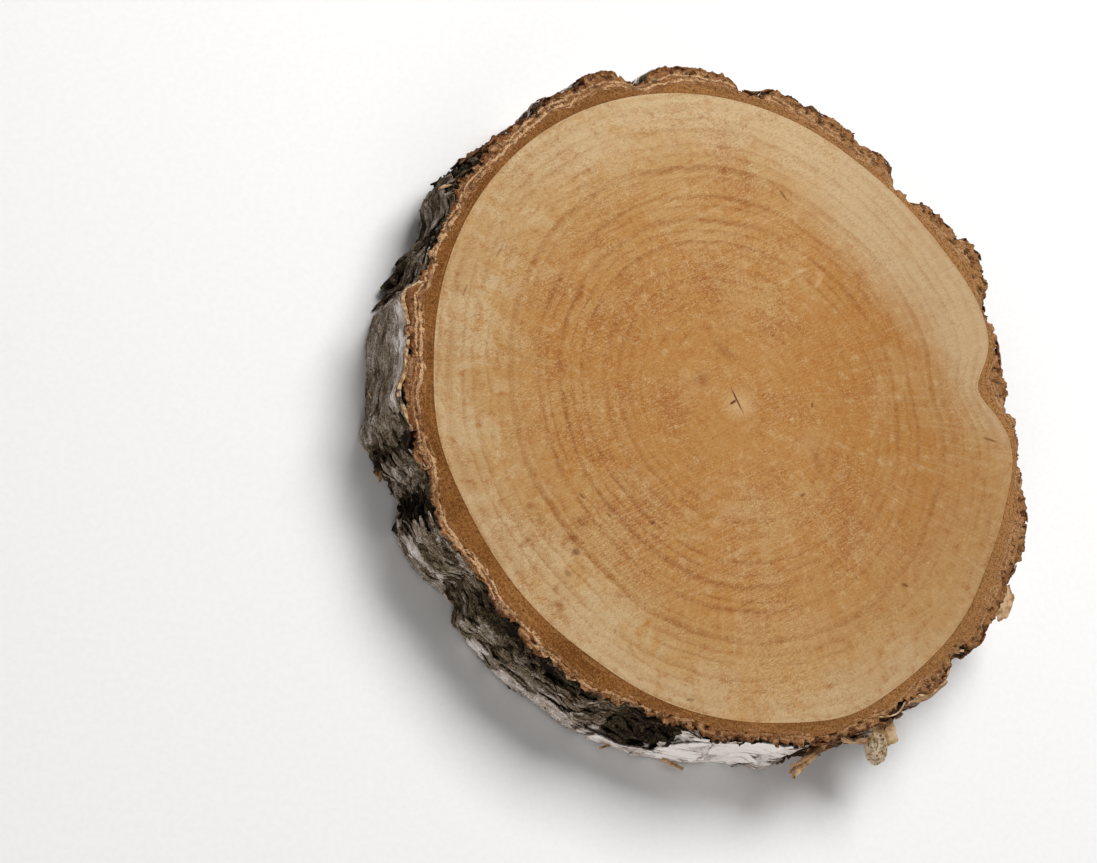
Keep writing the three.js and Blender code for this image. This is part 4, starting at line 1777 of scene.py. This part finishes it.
@dataclass
class PaperMaker:
    """Makes the sheets and peels of bark, bent round the trunk and torn at their edges."""

    survey: Survey
    finish: Material
    rim: Material
    spacing: float = 0.6
    foot_gap: float = 0.3
    top_gap: float = 0.5

    def make(self, name: str, sheet: PaperSheet, rim_from: int = 0) -> Piece:
        """Makes one sheet.

        Args:
            name: The piece's name.
            sheet: Where it lies and how it stands off.
            rim_from: 1 where the sheet's edge has the finish of a fresh cut.

        Returns:
            The finished piece.
        """
        start = np.array([math.radians(sheet.root)])
        radius = float(self.survey.wall(start, np.array([sheet.low * MM]))[0])
        arc = abs(sheet.tip - sheet.root) * math.radians(1) * radius / MM
        columns = max(8, round(arc / self.spacing))
        rows = max(6, round((sheet.high - sheet.low) / self.spacing))
        grid = {"x_subdivisions": columns, "y_subdivisions": rows, "size": 1.0}
        piece = primitive(name, bpy.ops.mesh.primitive_grid_add, **grid)
        self.bend(piece, sheet)
        piece.data.materials.append(self.finish)
        piece.data.materials.append(self.rim)
        shell = {"thickness": sheet.thick * MM, "offset": 0.0, "material_offset_rim": rim_from}
        apply_modifier(piece, "SOLIDIFY", **shell)
        settle(piece, self.finish, smooth=50)
        return piece

    def bend(self, piece: Piece, sheet: PaperSheet) -> None:
        """Bends a flat grid round the trunk as a sheet with torn edges and a lifted tip.

        Args:
            piece: The grid, one metre wide and high.
            sheet: Where it lies and how it stands off.
        """
        points = read_points(piece)
        along = points[:, 0] + 0.5
        up = points[:, 1] + 0.5
        seed = np.full(len(along), sheet.root + 0.37 * sheet.low)
        length = abs(sheet.tip - sheet.root) * 2.0
        tall = sheet.high - sheet.low
        ends = np.column_stack((seed, up * tall, seed))
        sides = np.column_stack((along * length, seed, seed))
        start = 2.0 * sheet.tear * rumple(ends, (1, 0.5, 1), 4, 9.0) / length
        end = 1.0 + 2.6 * sheet.tear * rumple(ends, (1, 0.55, 1), 4) / length
        share = start + (end - start) * along
        low = sheet.low + sheet.rise * (1.0 - share) ** 2
        low = low + 1.6 * sheet.tear * np.abs(rumple(sides, (0.35, 1, 1), 4, 4.0))
        high = sheet.high - sheet.fall * share ** 2
        high = high - 1.6 * sheet.tear * np.abs(rumple(sides, (0.35, 1, 1), 4, 14.0))
        level = low + (high - low) * up - sheet.drop * share
        top = self.survey.thickness / MM - self.top_gap
        height = np.clip(level, self.foot_gap + 0.5 * sheet.thick, top) * MM
        turn = np.radians(sheet.root + (sheet.tip - sheet.root) * share)
        outward = np.clip(share, 0, 1.2) ** sheet.power
        lift = sheet.root_lift + (sheet.tip_lift - sheet.root_lift) * outward
        lift = lift + sheet.bulge * np.sin(np.pi * np.clip(share, 0, 1))
        wall = self.survey.wall(turn, height, calm=sheet.rough < 1.0)
        flat = polar_points(turn, wall, height)
        ripple = 0.3 * rumple(flat, (140, 140, 320), 3, 6.0)
        ripple = ripple + 0.16 * rumple(flat, (600, 600, 1100), 2, 7.0)
        fibres = rumple(flat, (180, 180, 1000), 3, 8.0)
        ripple = sheet.rough * (ripple + 0.12 * fibres)
        write_points(piece, polar_points(turn, wall + (lift + ripple) * MM, height))
        border = eased(np.maximum(np.abs(2 * along - 1), np.abs(2 * up - 1)), 0.86, 1.0)
        stains = rumple(flat, (70, 70, 140), 3, 12.0)
        tone = sheet.tone + sheet.rough * (0.1 * fibres + 0.16 * stains)
        tone = tone - 0.15 * border * (sheet.tone > 0.7)
        rust = np.full(len(along), sheet.rust)
        write_masks(piece, tone=np.clip(tone, 0.05, 1.0), rust=rust)


def rim_points(angle: float, reach: float, height: float, offsets: Array) -> Array:
    """Places points near the rim.

    Args:
        angle: The angle of the place in degrees.
        reach: Its distance from the axis in millimetres.
        height: Its height in millimetres.
        offsets: Rows of millimetres across the rim, outwards and upwards from the place.

    Returns:
        The points in metres.
    """
    outward = math.radians(angle)
    across = outward - math.pi / 2
    far = reach + offsets[:, 1]
    x = far * math.cos(outward) + offsets[:, 0] * math.cos(across)
    y = far * math.sin(outward) + offsets[:, 0] * math.sin(across)
    return MM * np.column_stack((x, y, height + offsets[:, 2]))


@dataclass(frozen=True)
class Knob:
    """A small lumpy knob of bark that hangs off the rim on a neck. Sizes are in millimetres."""

    angle: float = 296.9
    reach: float = 120.2
    height: float = 21.5
    radius: float = 3.9
    tip: float = 4.6
    neck: float = 13.0
    waist: float = 0.34
    fall: float = 0.36
    detail: int = 6
    squash: float = 0.92
    lumps: float = 0.15
    fine_lumps: float = 0.08

    def build(self) -> Piece:
        """Makes the knob and its neck from one sphere.

        Returns:
            The knob.
        """
        add = bpy.ops.mesh.primitive_ico_sphere_add
        piece = primitive("knob", add, subdivisions=self.detail, radius=1.0)
        ball = read_points(piece)
        back = np.clip(-ball[:, 1], 0.0, 1.0)
        lumpy = 1.0 + self.lumps * rumple(ball, (1.6, 1.6, 1.6), 2, 3.0)
        lumpy = lumpy + self.fine_lumps * rumple(ball, (5, 5, 5), 3, 5.0)
        wide = self.radius * (1.0 - self.waist * eased(back, 0.05, 0.6)) * lumpy
        outward = np.where(ball[:, 1] > 0, ball[:, 1] * self.tip * lumpy, ball[:, 1] * self.neck)
        upward = ball[:, 2] * wide * self.squash - self.fall * outward
        offsets = np.column_stack((ball[:, 0] * wide, outward, upward))
        write_points(piece, rim_points(self.angle, self.reach, self.height, offsets))
        return piece


@dataclass(frozen=True)
class Leaf:
    """A thin torn flap at the rim.

    Its angle and its turns (about its length, about the rim's line and about the upright) are in
    degrees. Its reach and height are where it is rooted, in millimetres, as are its width, length,
    arch and thickness. The split is the share of its length that is torn in two.
    """

    name: str
    angle: float
    reach: float
    height: float
    width: float
    length: float
    roll: float = 0.0
    slope: float = 0.0
    swing: float = 0.0
    arch: float = 0.4
    split: float = 0.0
    taper: float = 0.35
    thick: float = 0.4

    def build(self) -> Piece:
        """Makes the flap from a grid that is torn, arched, turned and thickened.

        Returns:
            The flap.
        """
        grid = {"x_subdivisions": 16, "y_subdivisions": 28, "size": 1.0}
        piece = primitive(self.name, bpy.ops.mesh.primitive_grid_add, **grid)
        flat = read_points(piece)
        across, along = flat[:, 0], flat[:, 1] + 0.5
        torn = rumple(flat * (1, 1, 0) + self.angle, (5, 5, 1), 3, 2.0)
        x = across * self.width * (1.0 - self.taper * along ** 2) + 0.1 * self.width * torn
        cleft = np.exp(-(((across - 0.1) / 0.09) ** 2)) * eased(along, 0.4, 1.0)
        notch = self.split * self.length * cleft
        y = along * self.length - notch + 0.05 * self.length * torn * along
        z = self.arch * (1.0 - (2 * across) ** 2)
        z = z + 0.3 * rumple(flat + self.angle, (4, 3, 1), 2, 4.0)
        turns = Matrix.Identity(3)
        for angle, axis in ((self.swing, "Z"), (self.slope, "X"), (self.roll, "Y")):
            turns = turns @ Matrix.Rotation(math.radians(angle), 3, axis)
        offsets = np.column_stack((x, y, z)) @ np.array(turns).T
        write_points(piece, rim_points(self.angle, self.reach, self.height, offsets))
        apply_modifier(piece, "SOLIDIFY", thickness=self.thick * MM, offset=0.0)
        return piece


LEAVES = (
    Leaf("torn_strip", 288.2, 111.8, 22.5, 2.9, 16.5, 10, -8, -62, 0.3, 0.22, 0.15, 0.7),
    Leaf("knob_wing", 299.2, 113.0, 25.4, 5.4, 8.6, 24, -24, 6, 0.8, 0.0, 0.1),
    Leaf("knob_neck", 297.9, 109.5, 27.0, 6.6, 9.5, -12, -20, -6, 0.8, 0.0, 0.3),
    Leaf("right_flake", 332.4, 113.0, 25.5, 13.0, 8.8, 6, -22, 8, 0.6, 0.0, 0.3, 0.6),
    Leaf("low_splinter", 255.6, 112.6, 4.0, 1.3, 8.0, 20, -6, -56, 0.1, 0.0, 0.7, 0.3),
    Leaf("low_shred", 263.2, 113.8, 3.0, 1.3, 8.6, 20, -6, 80, 0.2, 0.5, 0.3, 0.3),
    Leaf("left_shred", 187.0, 113.0, 6.0, 2.2, 8.0, 50, 10, -55, 0.2, 0.0, 0.6),
    Leaf("back_splinter", 194.0, 113.5, 3.0, 1.3, 8.0, 60, 5, 68, 0.1, 0.0, 0.6),
    Leaf("top_shred", 147.0, 112.0, 24.0, 3.0, 9.0, 60, 5, 66, 0.2, 0.0, 0.5),
)


@dataclass
class Studio:
    """The plain studio: a pale floor, soft light and the camera at the picture's own angle."""

    camera_place: Triple = (-0.4465, -0.3017, 0.8082)
    camera_aim: Triple = (-0.0662, -0.0203, 0.0300)
    camera_up: Triple = (-0.1357, 0.9511, 0.2776)
    focal_pixels: float = 2950.0
    picture_width: float = 1097.0
    sensor: float = 36.0
    floor_size: float = 6.0
    key_place: Triple = (0.3, 0.75, 1.15)
    key_power: float = 20.9
    key_size: float = 0.8
    fill_place: Triple = (-0.35, -1.15, 0.26)
    fill_power: float = 6.3
    fill_size: float = 0.7
    clip_start: float = 0.01
    world_strength: float = 0.17

    def build(self, floor_finish: Material) -> None:
        """Sets up camera, floor and lights.

        Args:
            floor_finish: The floor's material.
        """
        self.add_camera()
        self.add_floor(floor_finish)
        self.add_light("key_light", self.key_place, self.key_power, self.key_size)
        self.add_light("fill_light", self.fill_place, self.fill_power, self.fill_size)
        self.light_world()

    def add_camera(self) -> None:
        """Places the camera with its own roll."""
        place = Vector(self.camera_place)
        back = (place - Vector(self.camera_aim)).normalized()
        right = Vector(self.camera_up).cross(back).normalized()
        up = back.cross(right)
        turn = Matrix((right, up, back)).transposed()
        data = bpy.data.cameras.new("camera")
        data.sensor_width = self.sensor
        data.lens = self.focal_pixels / self.picture_width * self.sensor
        data.clip_start = self.clip_start
        camera = bpy.data.objects.new("camera", data)
        camera.matrix_world = Matrix.Translation(place) @ turn.to_4x4()
        bpy.context.scene.collection.objects.link(camera)
        bpy.context.scene.camera = camera

    def add_floor(self, finish: Material) -> None:
        """Lays the floor that the slice rests on.

        Args:
            finish: The floor's material.
        """
        floor = primitive("floor", bpy.ops.mesh.primitive_plane_add, size=self.floor_size)
        floor.data.materials.append(finish)

    def add_light(self, name: str, place: Triple, power: float, size: float) -> None:
        """Hangs a square soft light that points at the slice.

        Args:
            name: The light's name.
            place: Where it hangs, in metres.
            power: Its power in watts.
            size: The length of its side in metres.
        """
        data = bpy.data.lights.new(name, "AREA")
        data.energy = power
        data.size = size
        light = bpy.data.objects.new(name, data)
        light.location = place
        light.rotation_euler = Vector(place).to_track_quat("Z", "Y").to_euler()
        bpy.context.scene.collection.objects.link(light)

    def light_world(self) -> None:
        """Fills the studio with even white light."""
        scene = bpy.context.scene
        scene.world = scene.world or bpy.data.worlds.new("studio")
        scene.world.use_nodes = True
        background = scene.world.node_tree.nodes["Background"]
        background.inputs["Color"].default_value = (1.0, 1.0, 1.0, 1.0)
        background.inputs["Strength"].default_value = self.world_strength
        scene.view_settings.view_transform = "Standard"


def build_paper(survey: Survey, weathered: NodeTree) -> None:
    """Makes every sheet, peel and strip of bark.

    Args:
        survey: The slice's measures.
        weathered: The group that gives the weathered look.
    """
    finish = WeatheredBark("paper_bark", rough=0.75, depth=0.22 * MM).build(weathered)
    rim = TwoToned("cut_rim", light=srgb(210, 180, 142), shade=srgb(150, 112, 76)).build()
    maker = PaperMaker(survey, finish, rim)
    maker.make("grey_plate", GREY_PLATE, rim_from=1)
    maker.make("knob_flap", KNOB_FLAP, rim_from=1)
    for number, sheet in enumerate(PAPER_SHEETS, start=1):
        maker.make(f"paper_sheet_{number:02d}", sheet)
    for number, sheet in enumerate(BARK_PEELS, start=1):
        maker.make(f"bark_peel_{number:02d}", sheet)
    tones = {"light": srgb(208, 170, 132), "shade": srgb(146, 108, 74)}
    tan = TwoToned("tan_strip", cycles=(300.0, 300.0, 1500.0), **tones)
    strips = PaperMaker(survey, tan.build(), rim)
    for number, sheet in enumerate(TAN_STRIPS, start=1):
        strips.make(f"tan_strip_{number:02d}", sheet)


def build_rim_pieces() -> None:
    """Makes the knob and the torn flaps that stand off the rim."""
    settle(Knob().build(), KnobBark().build())
    tones = {"light": srgb(212, 176, 136), "shade": srgb(152, 116, 78)}
    flap = TwoToned("torn_flap", cycles=(300.0, 300.0, 900.0), **tones).build()
    tones = {"light": srgb(212, 182, 146), "shade": srgb(168, 134, 86)}
    wing = TwoToned("knob_wing", cycles=(260.0, 260.0, 260.0), **tones).build()
    for leaf in LEAVES:
        finish = wing if leaf.name.startswith("knob") else flap
        settle(leaf.build(), finish, smooth=50)


def main() -> None:
    """Builds the studio, the wood, the bark and all that peels from it."""
    logging.basicConfig(level=logging.INFO, format="%(message)s")
    tones = {"light": srgb(250, 249, 248), "shade": srgb(248, 247, 246)}
    Studio().build(TwoToned("floor", rough=0.7, depth=0.01 * MM, **tones).build())
    speckle = speckle_group()
    weathered = weathered_group()
    survey = Survey()
    form = BarkForm(survey)
    settle(WoodRound(survey).build(), EndGrain().build(speckle), smooth=40)
    rings = BarkRings(survey, form)
    settle(rings.build_inner(), InnerBark().build(speckle), smooth=60)
    settle(rings.build_outer(), OuterBark().build(speckle, weathered))
    loose = LooseBark(survey, form)
    finish = WeatheredBark("bark_flakes").build(weathered)
    settle(loose.build_flakes(), finish, smooth=40)
    finish = WeatheredBark("bark_crumbs").build(weathered)
    settle(loose.build_crumbs(), finish, smooth=25)
    build_paper(survey, weathered)
    build_rim_pieces()


if __name__ == "__main__":
    main()
